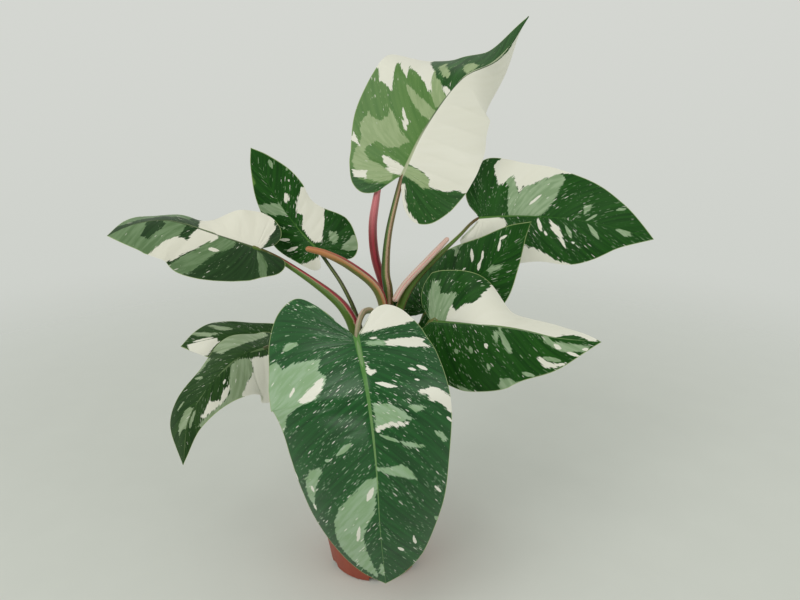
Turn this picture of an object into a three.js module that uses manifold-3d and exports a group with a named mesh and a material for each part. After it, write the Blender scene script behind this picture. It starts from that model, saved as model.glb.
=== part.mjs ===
// A white princess philodendron in its nursery pot: nine heart-shaped leaves on long petioles,
// three sheaths, a stem, the potting mix and a tapered pot.
// Millimetres, +Z up. The origin is the middle of the pot's flat underside, and the plant faces -Y.

import * as THREE from 'three';
import { mergeVertices } from 'three/addons/utils/BufferGeometryUtils.js';
import Module from 'manifold-3d';

const wasm = await Module();
wasm.setup();

// Driving dimensions

const potHeight = 100;
const potTopRadius = 60;
const potBaseRadius = 42;
const potWall = 1.6;
const potFloor = 2;
const rimHeight = 13;
const rimStep = 2.2;
const rimFlare = 0.6;
const rimRound = 1;
const baseEdge = 3;
const potSides = 44;
const drainSlots = 6;
const drainSlot = { width: 9, depth: 9, height: 5 };
const drainHoles = 4;
const drainHoleRadius = 4;
const drainHoleRing = 24;
const drainHoleSides = 12;
const potColour = 0x9c4630;

const mixLevel = 88;
const mixLumps = 1.2;
const lumpWaves = { x: 0.31, y: 0.27, slanting: 0.53 };
const mixRound = { inwards: 0.5, downwards: 1.5 };
const mixRings = 6;
const mixHoleDepth = 34;
const mixColour = 0x3d2c20;
const gap = 0.35;
const weldWithin = 1e-3;

const bladeThickness = 0.9;
const midribRidge = 1.3;
const veinBow = 0.12;
const veinCrowding = 0.45;
const veinsPerHalf = 20;
const stepsPerVein = 5;
const lobeVeins = 1 / 3;
const lobeStarts = 0.02;
const lobeOutline = [[0.27, 0.8], [0.5, 1], [0.74, 0.84], [0.92, 0.38]];
const lobeEases = 0.08;
const notchDepth = 0.34;
const notchFlare = 2.1;
const midribEnd = 0.985;
const tube = { sides: 8, rings: 14 };
const shine = { leaf: 0.35, stalk: 0.4, stem: 0.5, mix: 0.95, pot: 0.55 };

const stem = {
  path: [[1, 3, 56], [0, 4, 120], [4, 5, 178], [9, 7, 214], [12, 8, 236]],
  radii: [9, 9, 8.4, 7.6, 6],
  sides: 12,
  rings: 30,
  nodes: [104, 122, 141, 158, 175, 193, 209, 223],
  nodeSwell: 0.9,
  nodeWidth: 3,
  colour: 0x6c7d4a,
};

// Each leaf has its midrib as points from the petiole to the tip, the way its upper side looks at the
// base, middle and tip, and two halves. Seen from the petiole with the upper side up, left is left.
// A half's lobe reaches so far behind the petiole and is so wide, with a notch this open beside it.
// widths, fold and curl are pairs of a share of the midrib and a value there: how wide the half is,
// by how many degrees it leaves the leaf's plane at the midrib, and how much further it bends to its
// margin.

const leaves = [
  {
    name: 'leaf_front',
    colour: 0x2f6b38,
    midrib: [[-7, -85, 250], [2, -118, 223], [7, -124, 174], [9, -118, 117], [12, -100, 53]],
    faces: [[0.1, -1, 0.55], [0.05, -1, 0.1], [0, -1, -0.2]],
    left: {
      lobe: { reach: 25, width: 51, notch: 7 },
      widths: [[0.06, 56], [0.25, 59], [0.47, 56], [0.7, 48], [0.88, 33], [0.96, 16]],
      fold: [[0, -4], [1, -10]],
      curl: [[0, -25], [1, -30]],
    },
    right: {
      lobe: {
        reach: 47, width: 70, notch: 12, outline: [[0.33, 0.75], [0.57, 1], [0.8, 0.85], [0.95, 0.42]],
      },
      widths: [[0.06, 73], [0.25, 71], [0.47, 66], [0.7, 58], [0.88, 36], [0.96, 19]],
      fold: [[0, -6], [1, -10]],
      curl: [[0, -30], [1, -40]],
    },
  },
  {
    name: 'leaf_top',
    colour: 0x9fb878,
    midrib: [[25, 35, 348], [44, 45, 385], [74, 56, 423], [106, 62, 440], [127, 60, 471]],
    faces: [[-0.1, -1, 0.2], [0, -1, 0], [0.2, -1, -0.1]],
    left: {
      lobe: { reach: 28, width: 49, notch: 6 },
      widths: [[0.05, 52], [0.17, 59], [0.28, 61], [0.41, 62], [0.48, 63], [0.55, 51], [0.68, 33],
        [0.86, 15]],
      fold: [[0, 0], [0.38, 0], [0.64, -64], [1, -72]],
      curl: [[0, -15], [1, -25]],
    },
    right: {
      lobe: { reach: 31, width: 53, notch: 4 },
      widths: [[0.06, 56], [0.25, 58], [0.35, 56], [0.45, 48], [0.56, 43], [0.64, 41], [0.7, 34],
        [0.78, 20], [0.86, 12]],
      fold: [[0, 0], [0.55, -5], [0.95, -65], [1, -68]],
      curl: [[0, -20], [1, -20]],
    },
  },
  {
    name: 'leaf_right',
    colour: 0x2f6b38,
    midrib: [[92, 45, 310], [129, 54, 310], [175, 60, 306], [216, 62, 298], [251, 58, 288]],
    faces: [[0, -1, 0.4], [0, -1, 0.4], [0.1, -1, 0.4]],
    left: {
      lobe: { reach: 10, width: 37, notch: 5 },
      widths: [[0.03, 47], [0.13, 57], [0.29, 50], [0.43, 48], [0.56, 42], [0.69, 34], [0.8, 24],
        [0.91, 11]],
      fold: [[0, 0], [1, 0]],
      curl: [[0, -20], [1, -20]],
    },
    right: {
      lobe: { reach: 19, width: 37, notch: 8 },
      widths: [[0.06, 40], [0.2, 42], [0.37, 40], [0.5, 41], [0.6, 39], [0.7, 32], [0.81, 19], [0.92, 8]],
      fold: [[0, 0], [1, 0]],
      curl: [[0, -20], [1, -20]],
    },
  },
  {
    name: 'leaf_inner',
    colour: 0x2f6b38,
    midrib: [[45, 18, 232], [68, 19, 247], [93, 22, 266], [116, 24.5, 290], [133, 26.5, 310]],
    faces: [[0, -1, 0.4], [0, -1, 0.3], [0, -1, 0.2]],
    left: {
      lobe: { reach: 26, width: 30, notch: 3 },
      widths: [[0.06, 31], [0.25, 36], [0.47, 34], [0.7, 22], [0.88, 12]],
      fold: [[0, 0], [1, 0]],
      curl: [[0, -20], [1, -20]],
    },
    right: {
      lobe: { reach: 17, width: 26, notch: 3 },
      widths: [[0.06, 30], [0.25, 34], [0.47, 33], [0.7, 19], [0.88, 6]],
      fold: [[0, 0], [1, 0]],
      curl: [[0, -20], [1, -20]],
    },
  },
  {
    name: 'leaf_low_right',
    colour: 0x2f6b38,
    midrib: [[48, -10, 235], [79, -20, 236], [116, -30, 235], [147, -34, 229], [181, -34, 226]],
    faces: [[0, -1, 0.35], [0, -1, 0.35], [0, -1, 0.35]],
    left: {
      lobe: { reach: 9, width: 40, notch: 5 },
      widths: [[0.06, 42], [0.2, 43], [0.33, 42], [0.46, 33], [0.6, 24], [0.78, 21], [0.9, 11]],
      fold: [[0, 6], [0.12, 5], [0.5, -60], [0.8, -55], [1, -50]],
      curl: [[0, -10], [1, -20]],
    },
    right: {
      lobe: { reach: 14, width: 48, notch: 5 },
      widths: [[0.06, 50], [0.25, 56], [0.47, 50], [0.7, 32], [0.88, 12]],
      fold: [[0, 0], [1, 0]],
      curl: [[0, -20], [1, -20]],
    },
  },
  {
    name: 'leaf_arching',
    colour: 0x3c6f33,
    midrib: [[-84, -11, 213], [-105, -28, 212], [-126, -45, 195], [-144, -52, 166], [-153, -50, 125]],
    faces: [[0.1, -0.5, 1], [-0.4, -0.7, 0.5], [-0.5, -0.8, 0]],
    left: {
      lobe: { reach: 14, width: 44, notch: 4 },
      widths: [[0.06, 46], [0.18, 42], [0.29, 32], [0.5, 20], [0.7, 12], [0.88, 5]],
      fold: [[0, -35], [0.25, -40], [0.5, -38], [1, -52]],
      curl: [[0, -30], [1, -20]],
    },
    right: {
      lobe: { reach: 12, width: 27, notch: 4 },
      widths: [[0.06, 29], [0.2, 31], [0.35, 26], [0.5, 21], [0.65, 21], [0.8, 19], [0.92, 9]],
      fold: [[0, -12], [0.4, -10], [0.7, 5], [1, 0]],
      curl: [[0, -10], [1, -20]],
    },
  },
  {
    name: 'leaf_low_left',
    colour: 0x3c7a35,
    midrib: [[-74, 24, 211], [-107, 22, 212], [-138, 12, 211], [-166, 8, 205]],
    faces: [[0, -0.5, 0.9], [-0.1, -0.5, 0.9], [-0.1, -0.5, 0.9]],
    left: {
      lobe: { reach: 8, width: 12, notch: 3 },
      widths: [[0.06, 13], [0.25, 15], [0.47, 18], [0.7, 19], [0.88, 9]],
      fold: [[0, -10], [1, -10]],
      curl: [[0, -20], [1, -20]],
    },
    right: {
      lobe: { reach: 9, width: 9, notch: 2 },
      widths: [[0.06, 10], [0.25, 12], [0.47, 18], [0.7, 24], [0.88, 14]],
      fold: [[0, 0], [1, 0]],
      curl: [[0, -20], [1, -20]],
    },
  },
  {
    name: 'leaf_upper_left',
    colour: 0x2f6b38,
    midrib: [[-50, 45, 282], [-67, 52, 299], [-87, 57, 328], [-105, 58, 368]],
    faces: [[0, -1, 0.2], [0, -1, 0.1], [0, -1, 0]],
    left: {
      lobe: { reach: 14, width: 20, notch: 3 },
      widths: [[0.06, 22], [0.25, 28], [0.47, 21], [0.7, 14], [0.88, 7]],
      fold: [[0, 0], [1, 0]],
      curl: [[0, -20], [1, -20]],
    },
    right: {
      lobe: { reach: 27, width: 38, notch: 4 },
      widths: [[0.04, 38], [0.2, 31], [0.36, 25], [0.55, 26], [0.72, 22], [0.9, 10]],
      fold: [[0, 0], [1, 0]],
      curl: [[0, -20], [1, -20]],
    },
  },
  {
    name: 'leaf_left',
    colour: 0x7c9a6a,
    midrib: [[-95, 20, 288], [-128, 10, 303], [-160, 3, 315], [-187, 0, 313], [-210, -2, 304]],
    faces: [[0, -0.9, 0.45], [0, -0.9, 0.45], [0, -0.9, 0.45]],
    left: {
      lobe: {
        reach: 25, width: 28, notch: 0.6, outline: [[0.07, 0.86], [0.28, 1], [0.55, 0.84], [0.8, 0.36]],
      },
      widths: [[0.02, 29], [0.12, 34], [0.25, 38], [0.45, 40], [0.6, 33], [0.74, 28], [0.88, 17]],
      fold: [[0, 0], [1, -10]],
      curl: [[0, -20], [1, -20]],
    },
    right: {
      lobe: { reach: 15, width: 33, notch: 3 },
      widths: [[0.06, 34], [0.2, 29], [0.33, 21], [0.5, 22], [0.7, 22], [0.88, 13]],
      fold: [[0, -5], [0.15, -10], [0.45, -57], [0.7, -54], [1, -35]],
      curl: [[0, -20], [1, -20]],
    },
  },
];

// Petioles run from the stem to just under the base of their blade. Sheaths are the same kind of
// tube, flatter, and end in a point in the air.

const petioles = [
  { leaf: 'leaf_top', colour: 0x7f8a45, radii: [4.4, 3.6, 3, 2.6],
    path: [[13, 8, 237.5], [13, 9, 256], [11, 13, 272], [14, 22, 304], [25, 34, 349]] },
  { leaf: 'leaf_right', colour: 0x7d8a45, radii: [4, 3.6, 2.3, 1.6],
    path: [[22, 6, 206], [23, 4, 224], [23, 2, 242], [34, 7, 263], [56, 17, 284], [74, 33, 297],
      [84, 44, 304.5], [92, 45, 310]] },
  { leaf: 'leaf_inner', colour: 0x7d8a45, radii: [3.6, 3, 2.6],
    path: [[15, 11, 158], [24, 17, 190], [40, 24, 216], [45, 18, 232]] },
  { leaf: 'leaf_low_right', colour: 0x7d8a45, radii: [3.6, 3, 2.6],
    path: [[14, -3, 150], [26, -8, 190], [48, -10, 235]] },
  { leaf: 'leaf_front', colour: 0x6f7a55, radii: [3.2, 2.8, 2.4, 2.2],
    path: [[4, -7, 172], [4, -14, 225], [2, -28, 248], [-3, -50, 257], [-6, -68, 256], [-7, -85, 250]] },
  { leaf: 'leaf_left', colour: 0x6f8f3a, radii: [5, 5.5, 4.6, 3.4, 2.6],
    path: [[-11, 7, 178], [-13, 5, 210], [-20, 6, 234], [-37, 16, 250], [-76, 34, 272], [-95, 20, 288]] },
  { leaf: 'leaf_upper_left', colour: 0x4c5f33, radii: [3, 2.3, 1.9, 1.8],
    path: [[-4, 15, 172], [-13, 24, 220], [-26, 34, 249], [-42, 51, 268], [-50, 45, 282]] },
  { leaf: 'leaf_arching', colour: 0x6f8f3a, radii: [3.4, 2.8, 2.5],
    path: [[-10, -3, 128], [-34, -4, 168], [-66, 0, 193], [-84, -11, 213]] },
  { leaf: 'leaf_low_left', colour: 0x6f8f3a, radii: [3.4, 2.8, 2.5],
    path: [[-12, 7, 112], [-30, 14, 160], [-58, 26, 196], [-74, 24, 211]] },
];

const sheaths = [
  { name: 'sheath_red', colour: 0xb04258, radii: [3.6, 4.2, 4.2, 3.8, 2.2],
    path: [[12, 20, 216], [10, 20, 250], [2, 24, 280], [0, 30, 305], [3, 37, 328], [7, 44, 348]] },
  { name: 'sheath_orange', colour: 0xb8703c, radii: [3.6, 4.4, 4.2, 3.6, 2.4],
    path: [[9, -5, 214], [10, -4, 240], [3, -4, 262], [-17, -6, 280], [-36, -9, 291], [-51, -12, 296]] },
  { name: 'sheath_pale', colour: 0xe0c4bc, radii: [3, 3, 2.8, 2.2],
    path: [[18, -6, 250], [27, 0, 263], [45, 7.5, 281], [63, 14, 299]] },
];

// Small helpers

const vector = ([x, y, z]) => new THREE.Vector3(x, y, z);
const curveThrough = (points) => new THREE.CatmullRomCurve3(points.map(vector), false, 'catmullrom', 0.5);
const radians = THREE.MathUtils.degToRad;

/** A value part of the way along a list of values that are spread evenly from 0 to 1. */
function along(values, share) {
  const place = THREE.MathUtils.clamp(share, 0, 1) * (values.length - 1);
  const before = Math.min(Math.floor(place), values.length - 2);
  return THREE.MathUtils.lerp(values[before], values[before + 1], place - before);
}

/** A value between pairs of share and value, which changes slowly beside each pair. */
function eased(pairs, share) {
  const next = Math.max(1, pairs.findIndex(([at]) => at >= share));
  const [[fromShare, from], [toShare, to]] = [pairs[next - 1], pairs[next]];
  return THREE.MathUtils.lerp(from, to, THREE.MathUtils.smoothstep(share, fromShare, toShare));
}

/** A value on the smooth curve through pairs of share and value. */
function smooth(pairs, share) {
  const next = Math.max(1, pairs.findIndex(([at]) => at >= share));
  const slope = (i) => {
    const [before, after] = [pairs[Math.max(i - 1, 0)], pairs[Math.min(i + 1, pairs.length - 1)]];
    return (after[1] - before[1]) / (after[0] - before[0]);
  };
  const [[fromShare, from], [toShare, to]] = [pairs[next - 1], pairs[next]];
  const span = toShare - fromShare;
  const t = (share - fromShare) / span;
  const [square, cube] = [t * t, t * t * t];
  return from * (2 * cube - 3 * square + 1) + to * (3 * square - 2 * cube)
    + span * (slope(next - 1) * (cube - 2 * square + t) + slope(next) * (cube - square));
}

/** Triangles given as lists of three points, as one closed geometry whose corners are shared. */
function solidFrom(triangles) {
  const geometry = new THREE.BufferGeometry();
  const numbers = triangles.flat().flatMap((point) => point.toArray());
  geometry.setAttribute('position', new THREE.Float32BufferAttribute(numbers, 3));
  const merged = mergeVertices(geometry, weldWithin);
  merged.computeVertexNormals();
  return merged;
}

function place(group, name, geometry, colour, roughness) {
  const material = new THREE.MeshStandardMaterial({ color: colour, roughness, metalness: 0 });
  const mesh = new THREE.Mesh(geometry, material);
  mesh.name = name;
  group.add(mesh);
}

// Leaf blades

/** The margin of one half, laid flat: a curve round the lobe, then the widths up to the tip. */
function marginOf(half, length) {
  const { reach, width, notch, outline = lobeOutline } = half.lobe;
  const widths = [[0, width], ...half.widths, [1, 0]];
  const rounding = outline.map(([across, back]) => [across * width, -back * reach, 0]);
  rounding[0][0] = Math.max(rounding[0][0], notchFlare * notch);
  const lobe = curveThrough([
    [notch, -notchDepth * reach, 0],
    ...rounding,
    [width, 0, 0],
    [smooth(widths, lobeEases), lobeEases * length, 0],
  ]);
  const lobeSpans = 5 / 6;
  return (vein) => {
    if (vein < lobeVeins) {
      const { x, y } = lobe.getPoint((vein / lobeVeins) * lobeSpans);
      return { across: x, along: y, start: (lobeStarts * length * vein) / lobeVeins };
    }
    const share = (vein - lobeVeins) / (1 - lobeVeins);
    const crowded = share * (veinCrowding + (1 - veinCrowding) * share);
    const start = lobeStarts + (midribEnd - lobeStarts) * crowded;
    return { across: Math.max(smooth(widths, share), 0), along: share * length, start: start * length };
  };
}

function prepared(leaf) {
  const midrib = curveThrough(leaf.midrib);
  const length = midrib.getLength();
  const ready = (half, side) => ({
    ...half,
    side,
    margin: marginOf(half, length),
    wide: Math.max(...half.widths.map(([, across]) => across)),
  });
  const halves = [ready(leaf.left, -1), ready(leaf.right, 1)];
  return { ...leaf, midrib, length, faces: curveThrough(leaf.faces), halves };
}

/** One place on a blade and the way its surface looks, on vein 0..1 (lobe to tip), out 0..1. */
function bladeAt(leaf, half, vein, out) {
  const end = half.margin(vein);
  const bowed = end.start + (end.along - end.start) * (0.5 - veinBow * Math.min(end.across / half.wide, 1));
  const across = out * end.across;
  const length = (1 - out) ** 2 * end.start + 2 * out * (1 - out) * bowed + out * out * end.along;

  const share = THREE.MathUtils.clamp(length / leaf.length, 0, 1);
  const centre = leaf.midrib.getPointAt(share);
  const forward = leaf.midrib.getTangentAt(share);
  const face = leaf.faces.getPoint(share);
  face.addScaledVector(forward, -face.dot(forward)).normalize();
  const aside = new THREE.Vector3().crossVectors(forward, face).multiplyScalar(half.side);

  const fold = radians(eased(half.fold, share));
  const curl = radians(eased(half.curl, share));
  const tilt = fold + (curl * across) / half.wide;
  const sideways = (half.wide / curl) * (Math.sin(tilt) - Math.sin(fold));
  const upwards = (half.wide / curl) * (Math.cos(fold) - Math.cos(tilt));
  const point = centre
    .addScaledVector(forward, Math.min(length, 0))
    .addScaledVector(aside, sideways)
    .addScaledVector(face, upwards);
  const onMidrib = across < 1e-6;
  const slope = onMidrib ? 0 : tilt;
  const normal = face.multiplyScalar(Math.cos(slope)).addScaledVector(aside, -Math.sin(slope));
  const ridge = onMidrib ? midribRidge * (1 - share) : 0;
  return { top: point, bottom: point.clone().addScaledVector(normal, -bladeThickness - ridge) };
}

function bladeGeometry(leaf) {
  const triangles = [];
  const quad = (a, b, c, d, turned) => {
    triangles.push(turned ? [a, c, b] : [a, b, c], turned ? [a, d, c] : [a, c, d]);
  };
  for (const half of leaf.halves) {
    const grid = [];
    for (let i = 0; i <= veinsPerHalf; i += 1) {
      grid.push([]);
      for (let j = 0; j <= stepsPerVein; j += 1) {
        grid[i].push(bladeAt(leaf, half, i / veinsPerHalf, j / stepsPerVein));
      }
    }
    const onRight = half.side > 0;
    for (let i = 0; i < veinsPerHalf; i += 1) {
      for (let j = 0; j < stepsPerVein; j += 1) {
        const corners = [grid[i][j], grid[i + 1][j], grid[i + 1][j + 1], grid[i][j + 1]];
        const [a, b, c, d] = corners.map((corner) => corner.top);
        if (b.distanceTo(d) < a.distanceTo(c)) corners.push(corners.shift());
        quad(...corners.map((corner) => corner.top), onRight);
        quad(...corners.map((corner) => corner.bottom), !onRight);
      }
    }
    const border = [...grid[0], ...grid.slice(1).map((row) => row[stepsPerVein])];
    for (let i = 0; i + 1 < border.length; i += 1) {
      quad(border[i].top, border[i + 1].top, border[i + 1].bottom, border[i].bottom, onRight);
    }
  }
  return solidFrom(triangles);
}

// Stem, petioles and sheaths

/** A solid tube through points, whose radius goes through the given radii, closed at both ends. */
function tubeGeometry(points, radii, sides, rings, shapeAt = () => 1) {
  const curve = curveThrough(points);
  const frames = curve.computeFrenetFrames(rings, false);
  const loops = [];
  for (let i = 0; i <= rings; i += 1) {
    const share = i / rings;
    const centre = curve.getPointAt(share);
    const loop = [];
    for (let j = 0; j < sides; j += 1) {
      const angle = (2 * Math.PI * j) / sides;
      const radius = along(radii, share) * shapeAt(angle, centre);
      loop.push(centre.clone()
        .addScaledVector(frames.normals[i], radius * Math.cos(angle))
        .addScaledVector(frames.binormals[i], radius * Math.sin(angle)));
    }
    loops.push(loop);
  }
  const triangles = [];
  for (let j = 0; j < sides; j += 1) {
    const next = (j + 1) % sides;
    for (let i = 0; i < rings; i += 1) {
      triangles.push([loops[i][j], loops[i][next], loops[i + 1][next]]);
      triangles.push([loops[i][j], loops[i + 1][next], loops[i + 1][j]]);
    }
    triangles.push([curve.getPointAt(0), loops[0][next], loops[0][j]]);
    triangles.push([curve.getPointAt(1), loops[rings][j], loops[rings][next]]);
  }
  return solidFrom(triangles);
}

function stemGeometry() {
  const swelling = (angle, centre) => {
    const nearest = Math.min(...stem.nodes.map((height) => Math.abs(centre.z - height)));
    return 1 + (stem.nodeSwell / stem.radii[0]) * Math.exp(-((nearest / stem.nodeWidth) ** 2));
  };
  return tubeGeometry(stem.path, stem.radii, stem.sides, stem.rings, swelling);
}

/** A petiole ends below the blade's midrib, clear of it by the gap. */
function petioleGeometry(petiole, leaf) {
  const start = leaf.midrib.getPointAt(0);
  const forward = leaf.midrib.getTangentAt(0);
  const face = leaf.faces.getPoint(0);
  face.addScaledVector(forward, -face.dot(forward)).normalize();
  const radius = petiole.radii[petiole.radii.length - 1];
  const end = start
    .addScaledVector(face, -(bladeThickness + midribRidge + radius + 2 * gap))
    .addScaledVector(forward, radius);
  const points = [...petiole.path.slice(0, -1), end.toArray()];
  return tubeGeometry(points, petiole.radii, tube.sides, tube.rings);
}

// Potting mix and pot

/** The pot's outer radius at a height, below the rim. */
function potRadius(height) {
  return potBaseRadius + ((potTopRadius - rimStep - potBaseRadius) * height) / potHeight;
}

function turned(outline) {
  const geometry = new THREE.LatheGeometry(outline.map(([r, z]) => new THREE.Vector2(r, z)), potSides);
  geometry.rotateX(Math.PI / 2);
  geometry.deleteAttribute('uv');
  geometry.deleteAttribute('normal');
  const merged = mergeVertices(geometry, weldWithin);
  merged.computeVertexNormals();
  return merged;
}

/** The mix fills the pot, has an uneven top and a plain hole that the stem stands in. */
function mixGeometry() {
  const inside = (height) => potRadius(height) - potWall - gap;
  const hole = stem.radii[0] + stem.nodeSwell + gap;
  const bottom = potFloor + gap;
  const { inwards, downwards } = mixRound;
  const edge = inside(mixLevel) - inwards;
  const outline = [[0, bottom], [inside(bottom) - inwards, bottom], [edge, mixLevel - downwards]];
  for (let i = 1; i <= mixRings; i += 1) {
    outline.push([THREE.MathUtils.lerp(edge, hole + downwards, i / mixRings), mixLevel]);
  }
  const holeBottom = mixLevel - mixHoleDepth;
  outline.push([hole, mixLevel - downwards], [hole, holeBottom], [0, holeBottom]);
  const geometry = turned(outline);
  const points = geometry.attributes.position;
  for (let i = 0; i < points.count; i += 1) {
    const [x, y, z] = [points.getX(i), points.getY(i), points.getZ(i)];
    const across = Math.sin(lumpWaves.x * x) * Math.cos(lumpWaves.y * y);
    const slanting = Math.sin(lumpWaves.slanting * (x + y)) / 2;
    if (z > mixLevel - downwards / 2) points.setZ(i, z + mixLumps * (across + slanting));
    const byHole = z > holeBottom - downwards && Math.hypot(x, y) < hole + 2 * downwards;
    if (byHole) points.setXY(i, x + stem.path[0][0], y + stem.path[0][1]);
  }
  geometry.computeVertexNormals();
  return geometry;
}

const toManifold = (geometry) => new wasm.Manifold(new wasm.Mesh({
  numProp: 3,
  vertProperties: new Float32Array(geometry.attributes.position.array),
  triVerts: new Uint32Array(geometry.index.array),
}));

function fromManifold(solid) {
  const { vertProperties, triVerts } = solid.getMesh();
  const geometry = new THREE.BufferGeometry();
  geometry.setAttribute('position', new THREE.BufferAttribute(vertProperties, 3));
  geometry.setIndex(new THREE.BufferAttribute(triVerts, 1));
  geometry.computeVertexNormals();
  return geometry;
}

function cutter(shape) {
  shape.deleteAttribute('uv');
  shape.deleteAttribute('normal');
  return toManifold(mergeVertices(shape, weldWithin));
}

/** A thin tapered pot with a stepped rim, drain slots round its lower edge and holes in its floor. */
function potGeometry() {
  const rimBottom = potHeight - rimHeight;
  const shell = turned([
    [0, 0],
    [potBaseRadius - baseEdge / 2, 0],
    [potBaseRadius, baseEdge / 2],
    [potRadius(rimBottom), rimBottom],
    [potTopRadius - rimFlare, rimBottom],
    [potTopRadius, potHeight - rimRound],
    [potTopRadius - rimRound, potHeight],
    [potTopRadius - rimStep, potHeight],
    [potRadius(rimBottom) - potWall, rimBottom - rimRound],
    [potRadius(potFloor) - potWall, potFloor],
    [0, potFloor],
  ]);
  let pot = toManifold(shell);
  for (let i = 0; i < drainSlots; i += 1) {
    const { width, depth, height } = drainSlot;
    const slot = new THREE.BoxGeometry(depth, width, 2 * height);
    slot.translate(potBaseRadius, 0, 0);
    slot.rotateZ((2 * Math.PI * (i + 0.5)) / drainSlots);
    pot = pot.subtract(cutter(slot));
  }
  for (let i = 0; i < drainHoles; i += 1) {
    const hole = new THREE.CylinderGeometry(drainHoleRadius, drainHoleRadius, 4 * potFloor, drainHoleSides);
    hole.rotateX(Math.PI / 2);
    const angle = (2 * Math.PI * i) / drainHoles;
    hole.translate(drainHoleRing * Math.cos(angle), drainHoleRing * Math.sin(angle), 0);
    pot = pot.subtract(cutter(hole));
  }
  return fromManifold(pot);
}

const plant = new THREE.Group();
const readyLeaves = leaves.map(prepared);
for (const leaf of readyLeaves) {
  place(plant, leaf.name, bladeGeometry(leaf), leaf.colour, shine.leaf);
}
for (const petiole of petioles) {
  const leaf = readyLeaves.find(({ name }) => name === petiole.leaf);
  const name = petiole.leaf.replace('leaf', 'petiole');
  place(plant, name, petioleGeometry(petiole, leaf), petiole.colour, shine.stalk);
}
for (const sheath of sheaths) {
  const geometry = tubeGeometry(sheath.path, sheath.radii, tube.sides, tube.rings);
  place(plant, sheath.name, geometry, sheath.colour, shine.stalk);
}
place(plant, 'stem', stemGeometry(), stem.colour, shine.stem);
place(plant, 'potting_mix', mixGeometry(), mixColour, shine.mix);
place(plant, 'pot', potGeometry(), potColour, shine.pot);

export default plant;
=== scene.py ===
# %% [markdown]
# # A potted white princess philodendron
#
# This lesson dresses a plant whose solids are already built: nine heart-shaped leaves on long
# stalks, three sheaths, a stem, the potting mix and a tapered plastic pot. The solids are plain and
# coarse. Here each one is replaced by a fine mesh of the same form, in the same place, and gets the
# marbled, striped or grainy finish of the real thing.
#
# The first cell loads the solids as a fixed frame. They are never moved. The box round them is kept,
# so that the dressed plant can be compared with it at the end.

# %% The frame and its box
import math
import random

import bpy
import numpy as np
from mathutils import Euler, Matrix, Vector


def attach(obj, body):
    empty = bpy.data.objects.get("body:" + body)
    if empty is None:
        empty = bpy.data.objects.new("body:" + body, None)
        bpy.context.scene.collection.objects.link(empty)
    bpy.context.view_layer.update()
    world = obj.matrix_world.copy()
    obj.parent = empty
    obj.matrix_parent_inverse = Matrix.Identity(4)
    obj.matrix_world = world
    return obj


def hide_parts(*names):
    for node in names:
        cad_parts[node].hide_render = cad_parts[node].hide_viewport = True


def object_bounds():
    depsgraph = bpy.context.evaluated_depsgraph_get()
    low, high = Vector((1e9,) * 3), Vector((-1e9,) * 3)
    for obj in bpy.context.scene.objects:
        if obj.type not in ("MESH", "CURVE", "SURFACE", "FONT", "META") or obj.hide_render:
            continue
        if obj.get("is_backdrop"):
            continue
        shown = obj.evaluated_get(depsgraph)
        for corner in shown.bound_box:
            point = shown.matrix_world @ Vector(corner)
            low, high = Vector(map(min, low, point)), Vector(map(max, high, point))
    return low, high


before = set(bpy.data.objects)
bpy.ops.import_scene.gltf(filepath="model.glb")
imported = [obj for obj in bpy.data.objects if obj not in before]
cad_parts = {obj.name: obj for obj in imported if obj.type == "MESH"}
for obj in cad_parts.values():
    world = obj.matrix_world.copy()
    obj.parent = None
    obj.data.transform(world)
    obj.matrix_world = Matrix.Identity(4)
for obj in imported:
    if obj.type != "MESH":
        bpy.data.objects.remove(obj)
cad_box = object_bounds()
print("solids in the frame:", len(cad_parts))

# %% [markdown]
# ## The camera and the light
#
# The camera stands a little above the leaves and looks slightly down, close enough for the front leaf
# to look large. It comes first, because every other choice is judged through it. Its place, its tilt
# and its focal length could be set by eye. Here they were worked out from the pot's size and from how
# the floor recedes.
#
# A wide pale floor stands in for the room, and large soft lamps give the gentle shading of a bright
# room: a strong one high on the left and a weaker one on the right. The third lies on the floor in
# front of the plant, outside the picture. It is there for its reflection, which is the broad sheen on
# the glossy front leaf.

# %% Camera, lamps and floor
MM = 0.001
CAMERA_PLACE = (0.023, -0.472, 0.403)
CAMERA_PITCH = 18
CAMERA_LENS = 27.045
SENSOR_WIDTH = 36
FLOOR_SIZE = 30

bpy.ops.object.camera_add(
    location=CAMERA_PLACE, rotation=(math.radians(90 - CAMERA_PITCH), 0, 0)
)
camera = bpy.context.object
camera.name = "camera"
camera.data.lens = CAMERA_LENS
camera.data.sensor_width = SENSOR_WIDTH
bpy.context.scene.camera = camera
bpy.context.scene.view_settings.view_transform = "Standard"

PLANT_MIDDLE = Vector((0, 0, 0.24))
LAMP_COLOUR = (1, 0.99, 0.96)
LAMPS = {
    "lamp_left": {"place": (-1.0, -1.3, 1.7), "aim": PLANT_MIDDLE, "size": 1.5, "power": 20},
    "lamp_right": {"place": (1.5, -0.9, 0.9), "aim": PLANT_MIDDLE, "size": 1.4, "power": 9},
    "lamp_floor": {
        "place": (-0.25, -0.68, 0.004), "aim": Vector((-0.25, -0.68, 1)), "size": 0.3, "power": 1.3,
    },
}
for name, lamp in LAMPS.items():
    aim = (lamp["aim"] - Vector(lamp["place"])).to_track_quat("-Z", "Y").to_euler()
    bpy.ops.object.light_add(type="AREA", location=lamp["place"], rotation=aim)
    light = bpy.context.object
    light.name = name
    light.data.size = lamp["size"]
    light.data.energy = lamp["power"]
    light.data.color = LAMP_COLOUR


def deselect():
    """Operators act on all that is selected, so each step starts with nothing selected."""
    for item in bpy.context.selected_objects:
        item.select_set(False)


def select_only(item):
    """Makes one object the only selected one, and the active one."""
    deselect()
    item.select_set(True)
    bpy.context.view_layer.objects.active = item


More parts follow.
